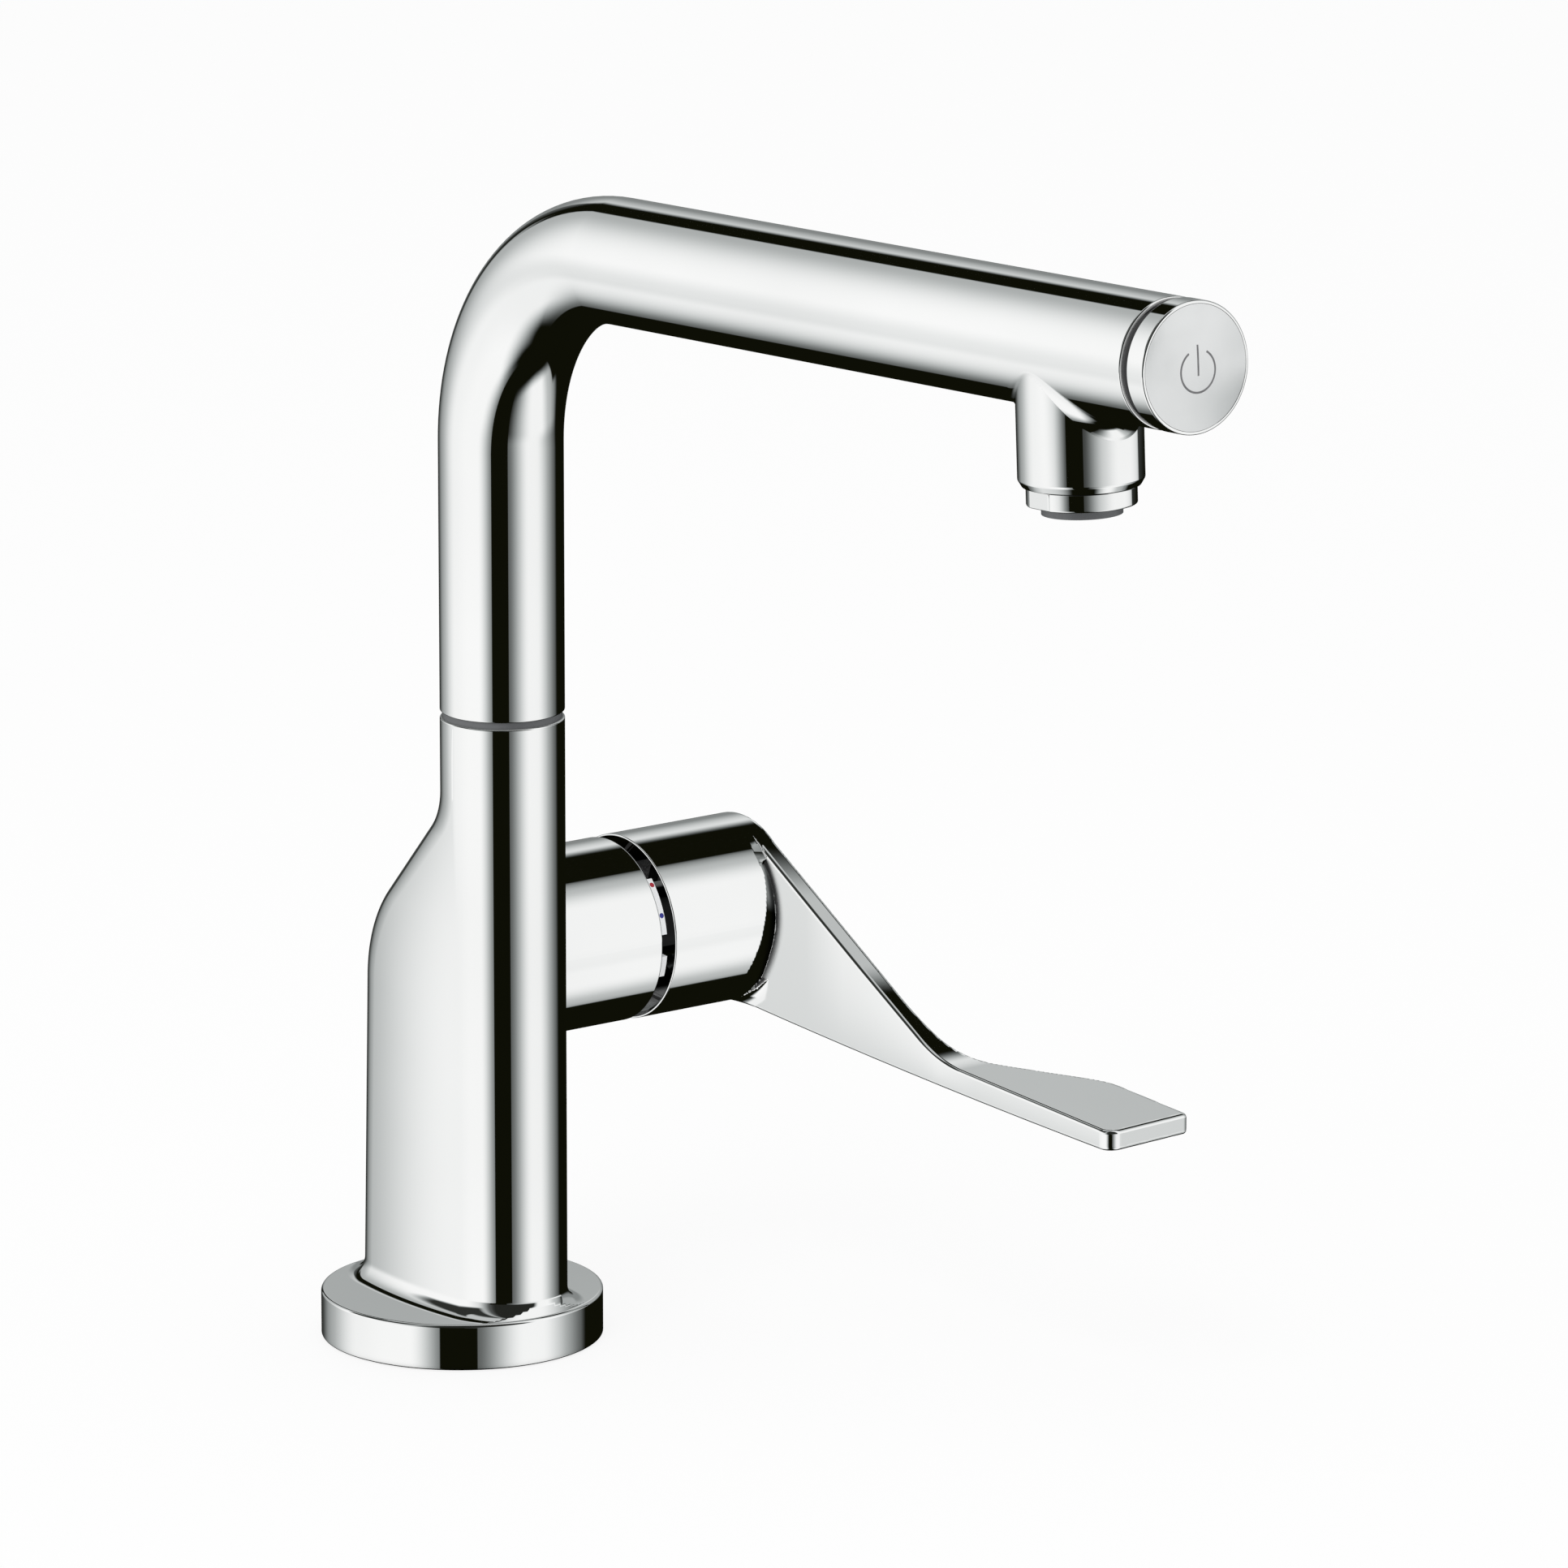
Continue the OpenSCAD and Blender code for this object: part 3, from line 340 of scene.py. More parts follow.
# Each finish has its two colours, metallic share, roughness range, tone and grain scale, grain depth
recipes = {
    "chrome": (CHROME_DARK, CHROME_PALE, 1.0, (0.012, 0.035), 14, 28, 6e-6),
    "satin_chrome": ((0.74, 0.75, 0.75), (0.80, 0.81, 0.81), 1.0, (0.16, 0.22), 60, 900, 4e-6),
    "chrome_plastic": (CHROME_DARK, CHROME_PALE, 1.0, (0.05, 0.09), 40, 80, 6e-6),
    "brass": ((0.62, 0.44, 0.18), (0.76, 0.57, 0.27), 1.0, (0.22, 0.38), 80, 700, 8e-6),
    "copper": ((0.62, 0.30, 0.18), (0.78, 0.42, 0.28), 1.0, (0.2, 0.36), 60, 500, 8e-6),
    "steel": ((0.50, 0.50, 0.49), (0.62, 0.62, 0.61), 1.0, (0.2, 0.34), 90, 900, 5e-6),
    "black_rubber": ((0.012, 0.012, 0.012), (0.03, 0.03, 0.03), 0.0, (0.55, 0.75), 120, 1500, 2e-5),
    "dark_plastic": ((0.012, 0.012, 0.013), (0.022, 0.022, 0.024), 0.0, (0.12, 0.22), 90, 1200, 3e-6),
    "grey_plastic": ((0.10, 0.105, 0.11), (0.15, 0.155, 0.16), 0.0, (0.3, 0.42), 90, 1500, 8e-6),
    "white_plastic": ((0.72, 0.71, 0.68), (0.80, 0.79, 0.76), 0.0, (0.35, 0.5), 70, 1200, 8e-6),
    "ring_white": ((0.78, 0.79, 0.80), (0.86, 0.87, 0.88), 0.0, (0.2, 0.32), 90, 1200, 4e-6),
    "mark_red": ((0.34, 0.006, 0.02), (0.44, 0.01, 0.03), 0.0, (0.3, 0.4), 300, 2000, 4e-6),
    "mark_blue": ((0.012, 0.014, 0.2), (0.02, 0.025, 0.3), 0.0, (0.3, 0.4), 300, 2000, 4e-6),
    "symbol_grey": ((0.16, 0.16, 0.165), (0.24, 0.24, 0.245), 0.3, (0.4, 0.55), 400, 2500, 6e-6),
    "ceramic_white": ((0.80, 0.79, 0.75), (0.88, 0.87, 0.83), 0.0, (0.1, 0.2), 60, 900, 3e-6),
}
finishes = {name: finish(name, *recipe) for name, recipe in recipes.items()}


def open_to_air(tree, distance, low, high):
    """0 deep in a gap and 1 in the open, from the ambient occlusion over a distance, as the mask of a
    painted shade.
    """
    air = tree.nodes.new("ShaderNodeAmbientOcclusion")
    air.inputs["Distance"].default_value = distance
    shade = tree.nodes.new("ShaderNodeMapRange")
    shade.interpolation_type = "SMOOTHSTEP"
    shade.inputs["From Min"].default_value = low
    shade.inputs["From Max"].default_value = high
    tree.links.new(air.outputs["AO"], shade.inputs["Value"])
    return shade.outputs["Result"]


# Painted shade: chrome's base colour is darkened in narrow gaps from the ambient occlusion, because it
# doesn't mirror the pieces around it
for name in ("chrome", "satin_chrome", "chrome_plastic"):
    tree = finishes[name].node_tree
    shader = next(node for node in tree.nodes if node.type == "BSDF_PRINCIPLED")
    bare = shader.inputs["Base Color"].links[0].from_socket
    unshaded_share = tree.nodes.new("ShaderNodeMath")
    unshaded_share.operation = "MULTIPLY"
    tree.links.new(open_to_air(tree, 0.005, 0.34, 0.66), unshaded_share.inputs[0])
    tree.links.new(open_to_air(tree, 0.03, 0.25, 0.43), unshaded_share.inputs[1])
    # Painted shade: the base colour goes to near black where the two gap masks are low
    painted_gap_shade = tree.nodes.new("ShaderNodeMix")
    painted_gap_shade.data_type = "RGBA"
    painted_gap_shade.inputs["A"].default_value = (0.01, 0.01, 0.01, 1)
    tree.links.new(bare, painted_gap_shade.inputs["B"])
    tree.links.new(unshaded_share.outputs["Value"], painted_gap_shade.inputs["Factor"])
    tree.links.new(painted_gap_shade.outputs["Result"], shader.inputs["Base Color"])
for node in frame["nodes"].values():
    for place_in_node, old in enumerate(list(node.data.materials)):
        node.data.materials[place_in_node] = finishes[old.name.split(".")[0]]

# Body: one casting of foot, column, neck and lever hub

BODY_TOP = 147.0
SHOULDER_TOP = 130.0
SHOULDER_ANGLE = math.radians(42.5)
HOLLOW_R = 14.0
ROUND_R = 32.0
REAR = 12.0
REAR_TAPER = 2.0
FOOT_H = 10.6
FOOT_R = 32.0
FILLET = 4.0
FILLET_EDGE_R = 31.1
SIDE_R = 120.0
hollow_dy = HOLLOW_R * (1 - math.cos(SHOULDER_ANGLE))
hollow_dz = HOLLOW_R * math.sin(SHOULDER_ANGLE)
round_dy = ROUND_R * (1 - math.cos(SHOULDER_ANGLE))
round_dz = ROUND_R * math.sin(SHOULDER_ANGLE)
line_dz = (REAR - SWIVEL_Y - hollow_dy - round_dy) / math.tan(SHOULDER_ANGLE)
shoulder_low = SHOULDER_TOP - hollow_dz - line_dz - round_dz
taper = -REAR_TAPER / (shoulder_low - FOOT_H)


def body_rows():
    """Heights from the foot up, each with the rear curve's centre, its slope and the fillet's turn."""
    rows = []
    for turn in np.radians(np.linspace(90, 0, 11)):
        z = FOOT_H + FILLET * (1 - math.sin(turn))
        rows.append((z, REAR + taper * (z - shoulder_low), taper, turn))
    for z in np.linspace(FOOT_H + FILLET, shoulder_low, 9)[1:]:
        rows.append((z, REAR + taper * (z - shoulder_low), taper if z < shoulder_low - 1 else 0.0, 0.0))
    for turn in np.linspace(0, SHOULDER_ANGLE, 17)[1:]:
        y = REAR - ROUND_R * (1 - math.cos(turn))
        rows.append((shoulder_low + ROUND_R * math.sin(turn), y, -math.tan(turn), 0.0))
    for turn in np.linspace(SHOULDER_ANGLE, 0, 13):
        y = SWIVEL_Y + HOLLOW_R * (1 - math.cos(turn))
        rows.append((SHOULDER_TOP - HOLLOW_R * math.sin(turn), y, -math.tan(turn), 0.0))
    rows.append((BODY_TOP - 1, SWIVEL_Y, 0.0, 0.0))
    return rows


def body_point(part, share, rear_y, fillet_turn):
    """A point of the column's outline: right side, rear curve, left side, front curve."""
    half_run = (rear_y - SWIVEL_Y) / 2
    lean = math.asin(min(1.0, half_run / (SIDE_R - TUBE_R)))
    if part in (0, 2):
        angle = -lean + 2 * lean * share + (math.pi if part == 2 else 0.0)
        away = -(SIDE_R - TUBE_R) * math.cos(lean) * (1 if part == 0 else -1)
        centre, radius = (away, SWIVEL_Y + half_run), SIDE_R
    else:
        angle = lean + (math.pi - 2 * lean) * share + (math.pi if part == 3 else 0.0)
        centre, radius = (0.0, rear_y if part == 1 else SWIVEL_Y), TUBE_R
    nx, ny = math.cos(angle), math.sin(angle)
    x, y = centre[0] + radius * nx, centre[1] + radius * ny
    along = x * nx + y * ny
    room = math.sqrt(max(0.0, along * along + FILLET_EDGE_R ** 2 - x * x - y * y)) - along
    out = FILLET * (1 - math.cos(fillet_turn))
    moved = min(out, max(0.0, room))
    return x + moved * nx, y + moved * ny, nx, ny, moved < out


column = Shape()
parts = enumerate((16, 72, 16, 72))
outline = [(part, share) for part, count in parts for share in np.arange(count) / count]
points, normals = [], []
for z, rear_y, slope_y, fillet_turn in body_rows():
    ring, ring_normals = [], []
    for part, share in outline:
        x, y, nx, ny, cut = body_point(part, share, rear_y, fillet_turn)
        ring.append((x, y, z))
        if cut:
            ring_normals.append((x, y, 0.0))
            continue
        x0, y0 = body_point(part, share, rear_y - 0.01, fillet_turn)[:2]
        x1, y1 = body_point(part, share, rear_y + 0.01, fillet_turn)[:2]
        growth = ((x1 - x0) * nx + (y1 - y0) * ny) / 0.02
        flat = math.cos(fillet_turn)
        ring_normals.append((nx * flat, ny * flat, math.sin(fillet_turn) - growth * slope_y * flat))
    points.append(ring)
    normals.append(ring_normals)
column.grid(points, normals)
lathe(
    column,
    [(TUBE_R, BODY_TOP - 1), (TUBE_R, BODY_TOP, 0.3), (11.7, BODY_TOP, 0.1), (11.7, BODY_TOP - 18)],
    SWIVEL,
)
# Foot, with the groove of its gasket round a flat plate
PLATE_R = 23.8
FOOT_STEPS = 240
BORE_STEPS = 48
lathe(
    column,
    [(PLATE_R, 0), (24, 0, 0.1), (24, 1.6), (29, 1.6), (29, 0, 0.1), (FOOT_R, 0, 0.4),
     (FOOT_R, FOOT_H, 0.7), (10, FOOT_H)],
    UP,
    count=FOOT_STEPS,
)
# Bores in the underside: the stud's and those of the cold and hot hoses
bores = [(0, 0, 3.4, 16), (3, -9.5, 4.5, 14), (-7, 9.5, 4.5, 14)]
rim_points = []
rims = []
for x, y, radius, count in [(0, 0, PLATE_R, FOOT_STEPS)] + [(*bore[:3], BORE_STEPS) for bore in bores]:
    rims.append(list(range(len(rim_points), len(rim_points) + count)))
    rim_points.extend(Vector((x, y)) + Vector(way) * radius for way in circle(count)[1])
spots, _, faces, _, _, sources = delaunay_2d_cdt(rim_points, [], rims, 1, 1e-5)
plate = [tuple(face[::-1]) for face, source in zip(faces, sources) if source == [0]]
column.add([(*spot, 0.0) for spot in spots], [(0, 0, -1)] * len(spots), plate)
for x, y, radius, depth in bores:
    where = place((x, y, 0), (1, 0, 0), (0, 1, 0))
    lathe(column, [(0, depth), (radius, depth), (radius, 0)], where, count=BORE_STEPS)
# Hub for the cartridge
lathe(
    column,
    [(HUB_R, 0), (HUB_R, 41.4, 0.45), (20.05, 41.4, 0.15), (20.05, 40.0), (18.45, 40.0, 0.1), (18.45, 30.5),
     (17.6, 30.5), (17.6, 9.7), (0, 9.7)],
    HUB,
    count=192,
)
piece("body_casting", column, finishes["chrome"], "tap_body", ["body"])

# Dome over the cartridge's nut
dome = Shape()
DOME_R = 19.508
DOME_SEAT = 36.52
dome_points = []
turns = np.linspace(math.asin(10.5 / DOME_R), math.acos(6.5 / DOME_R), 24)
for turn in turns[::-1]:
    out, rise = math.sin(turn), math.cos(turn)
    dome_points.append((DOME_R * out, PIVOT_X + DOME_R * rise, out, rise))
rim = dome_points[-1]
profile = [(18.2, DOME_SEAT, 0.0, -1.0), (18.36, DOME_SEAT, 0.0, -1.0)] + dome_points
profile += rounded([(rim[0], rim[1]), (rim[0] - 0.1, rim[1]), (rim[0] - 0.1, rim[1] - 1.2)])
extrude(dome, circle(), profile, HUB)
piece("dome_cover", dome, finishes["dark_plastic"], "tap_body", ["dome_cap"])

# Spout: tube, elbow and outlet branch


def spout_path(length):
    """Centre and direction of the spout's route at a length from the tube's foot."""
    upright = ELBOW_Z - TUBE_FOOT
    bend = ELBOW_R * SPOUT_TURN
    if length <= upright:
        return np.array([0, SWIVEL_Y, TUBE_FOOT + length]), np.array([0, 0, 1.0])
    if length <= upright + bend:
        turn = (length - upright) / ELBOW_R
        centre = np.array([0, SWIVEL_Y - ELBOW_R, ELBOW_Z])
        spot = centre + ELBOW_R * np.array([0, math.cos(turn), math.sin(turn)])
        return spot, np.array([0, -math.sin(turn), math.cos(turn)])
    run = ELBOW_R * math.tan(SPOUT_TURN / 2) + length - upright - bend
    return np.array([0, SWIVEL_Y, SPOUT_Z]) + run * SPOUT_AXIS, SPOUT_AXIS


upright = ELBOW_Z - TUBE_FOOT
bend = ELBOW_R * SPOUT_TURN
spout_end = upright + bend + SPOUT_LEN - ELBOW_R * math.tan(SPOUT_TURN / 2)
stops = [upright + bend * k / 36 for k in range(37)]
profile = [(TUBE_IN_R, 0), (TUBE_R, 0, 0.3)] + [(TUBE_R, s) for s in stops]
profile += [(TUBE_R, spout_end, 0.35), (TUBE_IN_R, spout_end, 0.1)]
profile += [(TUBE_IN_R, s) for s in stops[::-1]] + [(TUBE_IN_R, 0)]
spout = Shape()
TUBE_STEPS = 160
turns = np.linspace(0, 2 * math.pi, TUBE_STEPS, endpoint=False)
points, normals = [], []
for offset, length, out, rise in rounded(profile):
    centre, ahead = spout_path(length)
    across = np.array([1.0, 0, 0])
    over = np.cross(ahead, across)
    ways = np.cos(turns)[:, None] * across + np.sin(turns)[:, None] * over
    points.append(centre + offset * ways)
    normals.append(out * ways + rise * ahead)
spout.grid(points, normals)

OUTLET_R = 13.4
OUTLET_DROP = 29.3
JOIN_R = 4.5
lathe(
    spout,
    [(OUTLET_R, 2), (OUTLET_R, OUTLET_DROP - 1.5, 1.0), (OUTLET_R - 0.9, OUTLET_DROP, 0.25),
     (11, OUTLET_DROP, 0.15), (11, 18), (7.2, 18), (7.2, 3)],
    OUTLET,
)
# The fillet between tube and outlet is the path of a ball that touches both
side = (OUTLET_R + JOIN_R) * np.cos(turns)
ahead = (OUTLET_R + JOIN_R) * np.sin(turns)
drop = np.sqrt((TUBE_R + JOIN_R) ** 2 - side ** 2)
ball = np.column_stack([side, ahead, drop])
none = np.zeros(TUBE_STEPS)
to_tube = -np.column_stack([side, none, drop]) / (TUBE_R + JOIN_R)
to_branch = -np.column_stack([np.cos(turns), np.sin(turns), none])
gap = np.arccos(np.clip((to_tube * to_branch).sum(axis=1), -1, 1))[:, None]
points, normals = [], []
for share in np.linspace(0, 1, 11):
    way = (np.sin((1 - share) * gap) * to_tube + np.sin(share * gap) * to_branch) / np.sin(gap)
    points.append((ball + JOIN_R * way) @ OUTLET[0].T + OUTLET[1])
    normals.append(-way @ OUTLET[0].T)
spout.grid(points, normals)
piece("spout_tube", spout, finishes["chrome"], "spout", ["spout"])

# Aerator collar with two flats for a key
collar = Shape()
COLLAR_R = 11.7
FLAT = 11.2
half = math.acos(FLAT / COLLAR_R)
base, ways = [], []
for middle in (0.0, math.pi):
    across = np.array([math.cos(middle), math.sin(middle)])
    beside = np.array([-across[1], across[0]])
    for share in np.linspace(-1, 1, 9):
        base.append(FLAT * across + share * COLLAR_R * math.sin(half) * beside)
        ways.append(across)
    for turn in np.linspace(middle + half, middle + math.pi - half, 60):
        way = np.array([math.cos(turn), math.sin(turn)])
        base.append(COLLAR_R * way)
        ways.append(way)
profile = rounded([(-1.5, 29.4), (0, 29.4, 0.25), (0, 33.3, 0.35), (-1.5, 33.3)])
extrude(collar, (np.array(base), np.array(ways)), profile, OUTLET)
lathe(collar, [(10.95, 19.4), (10.95, 29.45), (10.5, 29.45)], OUTLET)
lathe(
    collar,
    [(10.6, 33.28), (8.7, 33.28, 0.15), (8.7, 32.3), (9.4, 32.3), (9.4, 19.4), (10.95, 19.4)],
    OUTLET,
)
piece("aerator_ring", collar, finishes["chrome"], "spout", ["aerator_collar"])

# Button
button = Shape()
BUTTON_S = 239.9
BUTTON_FACE = 245.2
RECESS_S = 244.0
lathe(
    button,
    [(0, 241.4), (7.65, 241.4), (7.65, 224.9), (9.15, 224.9, 0.2), (9.15, BUTTON_S), (14.05, BUTTON_S, 0.3),
     (14.05, BUTTON_FACE, 0.4), (13.34, BUTTON_FACE, 0.08), (13.34, RECESS_S), (0, RECESS_S)],
    SPOUT,
)
piece("button_body", button, finishes["chrome"], "button", ["button_cap"])
face = Shape()
FACE_R = 13.28
CROWN_R = 95.0
crown_low = math.sqrt(CROWN_R ** 2 - FACE_R ** 2)
FACE_EDGE = BUTTON_FACE - 0.05
profile = rounded([(0, RECESS_S), (FACE_R, RECESS_S), (FACE_R, FACE_EDGE), (FACE_R, BUTTON_FACE)])[:-1]
for radius in np.linspace(FACE_R, 0, 15):
    rise = math.sqrt(CROWN_R ** 2 - radius ** 2)
    profile.append((radius, FACE_EDGE + rise - crown_low, radius / CROWN_R, rise / CROWN_R))
extrude(face, circle(), profile, SPOUT)
piece("button_face", face, finishes["satin_chrome"], "button", ["button_disc"])

# Standby symbol: an open ring with a bar through the gap, printed on the button
symbol = Shape()
LINE = 0.45
RING_R = 4.5
RING_DOWN = 0.6
ring_turns = np.radians(np.linspace(121, 419, 73))
strokes = [[(RING_R * math.cos(a), RING_R * math.sin(a) - RING_DOWN) for a in ring_turns]]
strokes.append([(0.0, y) for y in np.linspace(-1.6, 4.9, 9)])
# The line's cross-section: sideways place, top or foot, and which way it faces
section = ((-0.5, 0, -1), (-0.5, 1, -1), (-0.5, 1, 0), (0.5, 1, 0), (0.5, 1, 1), (0.5, 0, 1))
for stroke in strokes:
    path = np.array(stroke)
    ahead = np.gradient(path, axis=0)
    ahead /= np.linalg.norm(ahead, axis=1)[:, None]
    beside = np.column_stack([ahead[:, 1], -ahead[:, 0]])
    rings, ring_normals = [], []
    for offset, on_top, way in section:
        flat = path + offset * LINE * beside
        crown = BUTTON_FACE - 0.03 + np.sqrt(CROWN_R ** 2 - (flat ** 2).sum(axis=1)) - crown_low
        local = np.column_stack([flat, crown if on_top else np.full(len(flat), 244.6)])
        tilt = np.column_stack([way * beside, np.full(len(flat), 0.0 if way else 1.0)])
        rings.append(local @ SPOUT[0].T + SPOUT[1])
        ring_normals.append(tilt @ SPOUT[0].T)
    symbol.grid(rings, ring_normals, closed=False)
piece("button_symbol", symbol, finishes["symbol_grey"], "button", ["standby_symbol"])

# Lever: turned sleeve and a flared blade

BLADE_IN = 75.0
BLADE_OUT = 79.5
BLADE_R = 21.2
BEND_R = 35
FLARE_START = 61
FLARE_R = 62
GRIP_OUT = 99
GRIP_R = 16
TIP_T = 141
CUT_DEPTH = 2.85


def ramp(value, low, width):
    """0 up to low, 1 from low + width, and straight between them. Falls where the width is negative."""
    return np.clip((value - low) / width, 0, 1)


def root_cut(t, h):
    """How far the sleeve is cut in where it meets the blade's inner face."""
    below = h + 6.5
    cut = np.where(below > 0, CUT_DEPTH - 0.06 * below, CUT_DEPTH * (1 - (below / 12.4) ** 2))
    cut = np.maximum(cut, 0) * ramp(h, 14.2, -1.2)
    crown = 0.35 * ramp(h, 18.5, -1.5) * ramp(h, 11, 2)
    return (cut + crown) * ramp(t, 5, 4)


def blade_side(t, h, draft):
    """Signed distance to the blade's outline seen from the side."""
    steep, shallow = math.radians(29.05), math.radians(2.8)
    crest = BLADE_R / math.cos(steep)
    grip_h = 15.7
    bend_t = (crest + grip_h) / (math.tan(steep) - math.tan(shallow))
    run = BEND_R * math.tan((steep - shallow) / 2)
    centre_t = bend_t + run * math.cos(shallow) + BEND_R * math.sin(shallow)
    centre_h = crest - math.tan(steep) * bend_t - run * math.sin(shallow) + BEND_R * math.cos(shallow)
    upper = (h - crest + math.tan(steep) * t) * math.cos(steep) + draft
    grip = (h + grip_h + math.tan(shallow) * t) * math.cos(shallow)
    hollow = BEND_R - np.hypot(t - centre_t, h - centre_h) + draft
    top = np.where(t > centre_t - BEND_R * math.sin(shallow), grip, hollow)
    top = np.where(t < centre_t - BEND_R * math.sin(steep), upper, top)
    heel = (-BLADE_R - 0.0664 * t + 0.000164 * t * t - h) / np.sqrt(1 + (0.000328 * t - 0.0664) ** 2)
    start = np.maximum(h * math.sin(steep) - t * math.cos(steep), -1 - t)
    return np.maximum(join_round(top, heel, 0.3), start)


def blade_plan(x, t):
    """Signed distance to the blade's outline seen from above."""
    flare = math.radians(30.3)
    flare_t = FLARE_START + FLARE_R * math.sin(flare)
    flare_x = BLADE_OUT + FLARE_R * (1 - math.cos(flare))
    corner_x = GRIP_OUT - GRIP_R * (1 - math.cos(flare))
    corner_t = flare_t + (corner_x - flare_x) / math.tan(flare)
    last_t = corner_t + GRIP_R * math.sin(flare)
    bend = FLARE_R - np.hypot(x - BLADE_OUT - FLARE_R, t - FLARE_START)
    outer = np.where(t < FLARE_START, x - BLADE_OUT, bend)
    sloped = (x - flare_x) * math.cos(flare) - (t - flare_t) * math.sin(flare)
    outer = np.where(t > flare_t, sloped, outer)
    outer = np.where(t > corner_t, np.hypot(x - GRIP_OUT + GRIP_R, t - last_t) - GRIP_R, outer)
    outer = np.where(t > last_t, x - GRIP_OUT, outer)
    tip = (t - TIP_T + (x - BLADE_IN) / 12) * math.cos(math.atan(1 / 12))
    return join_round(join_round(BLADE_IN - x, tip, 3.5), outer, 0.9)


def lever_solid(x, y, z):
    """Signed distance to the lever's blade, its root fillet and the sleeve's outer end."""
    t = -y
    h = z - HUB_Z
    rho = np.hypot(t, h)
    draft = 0.07 * ramp(t, 75, -25) * (BLADE_OUT - x) * (0.55 + 0.45 * ramp(t, 12, 20))
    side = blade_side(t, h, draft)
    blade = join_round(blade_plan(x, t), side, 0.85)
    sleeve = np.maximum(join_round(rho - SLEEVE_R, x - BLADE_OUT, 0.6), 54 - x)
    sleeve = np.maximum(sleeve, -np.maximum(rho - 18.6 + 1.1 * ramp(x, 66, 2), x - 73.2))
    plug_hole = np.maximum(np.hypot(x - 60, y) - 2.6, h)
    sleeve = join_round(sleeve, -plug_hole, 0.12)
    # From a slanting line on the sleeve a cone runs in under the blade's inner face
    line = np.minimum(69.75 + 0.238 * h, 74) - 1.2 * ramp(h, 12, 3)
    cone = rho - SLEEVE_R + root_cut(t, h) * (x - line) / (BLADE_IN - line)
    sleeve = np.maximum(sleeve, np.minimum(0.9 * cone, BLADE_IN - x))
    # Below, a fillet joins the sleeve and the blade
    round_r = 3 * ramp(h, -14, -5)
    crest_r = SLEEVE_R + round_r
    ball = round_r - np.hypot(rho - crest_r, x - BLADE_IN + round_r)
    root = np.maximum(np.maximum(ball, rho - crest_r), np.maximum(20 - rho, x - 79))
    root = join_round(np.maximum(root, BLADE_IN - round_r - x), side, 0.7)
    return np.minimum(blade, np.minimum(sleeve, root))


lever = Shape()
SEAM = 56.0
STEP = 0.55
# The net is finer along the hub's axis at the crease, and it starts one ring before the seam
stations = [np.arange(SEAM - STEP, 66.4, STEP), np.arange(66.5, 74.9, 0.25), [74.9, 74.97, 75.03, 75.1]]
stations += [np.arange(75.25, 76.4, 0.25), np.arange(76.5, 100.4, STEP)]
axes = [np.concatenate(stations), np.arange(-142.2, 22.9, STEP), np.arange(49.9, 111.9, STEP)]
spots, slopes, faces = net(lever_solid, axes)
# The points where the cone's last ring, from x 74.9 to 74.97, meets the blade are drawn onto one line
reach, rise = -spots[:, 1], spots[:, 2] - HUB_Z
rho = np.hypot(reach, rise)
foot_r = SLEEVE_R - root_cut(reach, rise)
quads = np.array(faces)
last_ring = (abs(spots[:, 0] - 74.93) < 0.04) & (foot_r < SLEEVE_R - 0.2) & (rho < SLEEVE_R)
at_line = np.zeros(len(spots), bool)
at_line[quads[last_ring[quads].any(axis=1)].ravel()] = True
at_line &= (spots[:, 0] > 74.965) & (abs(rho - foot_r) < 0.6)
share = np.where(at_line, foot_r / np.maximum(rho, 1), 1.0)
spots[:, 0] = np.where(at_line, BLADE_IN, spots[:, 0])
spots[:, 1] = -reach * share
spots[:, 2] = HUB_Z + rise * share
slopes[at_line] = (-1, 0, 0)
# The normals of the blade's inner face lean as on a hollowed one, which shades it from top to bottom
inner = np.clip((slopes[:, 0] + 0.98) / -0.02, 0, 1) * (spots[:, 0] < 76)
reach, rise = -spots[:, 1], spots[:, 2] - HUB_Z
top_edge = np.maximum(24.2 - 0.555 * reach, -15.7 - 0.049 * reach)
low_edge = -21.2 - 0.0664 * reach + 0.000164 * reach ** 2
down = np.clip((top_edge - rise) / (top_edge - low_edge), 0, 1)
away = np.clip((reach - 30) / 14, 0, 1) * np.clip((100 - reach) / 20, 0.35, 1)
slopes[:, 1] += (0.03 - 0.11 * away * (1 - down) + 0.03 * down) * inner
lever.add(spots, slopes, faces)
lathe(
    lever,
    [(0, 50.5), (8.5, 50.5, 0.3), (8.5, 73.0), (17.4, 73.0), (17.4, 68), (18.5, 66), (18.5, 57),
     (20.0, 57), (20.0, 46, 0.2), (20.9, 45, 0.1), (SLEEVE_R, 45, 0.25), (SLEEVE_R, SEAM)],
    HUB,
    count=192,
)
piece("lever_casting", lever, finishes["chrome"], "lever", ["lever_handle"])

# Camera at the photograph's place
camera = bpy.data.cameras.new("camera")
camera.sensor_width = 36
camera.lens = 281.98
camera.clip_start = 0.05
camera.clip_end = 50
camera_object = bpy.data.objects.new("camera", camera)
bpy.context.scene.collection.objects.link(camera_object)
right = Vector((0.7983, -0.6023, 0.0)).normalized()
ahead = Vector((0.58454, 0.77471, -0.24112)).normalized()
above = right.cross(ahead).normalized()
turn = Matrix((right, above, -ahead)).transposed().to_4x4()
camera_object.matrix_world = Matrix.Translation(Vector((-1.5553, -2.1827, 0.7936))) @ turn
bpy.context.scene.camera = camera_object

# Studio: white for the camera, while the chrome shows soft boxes in a dark room


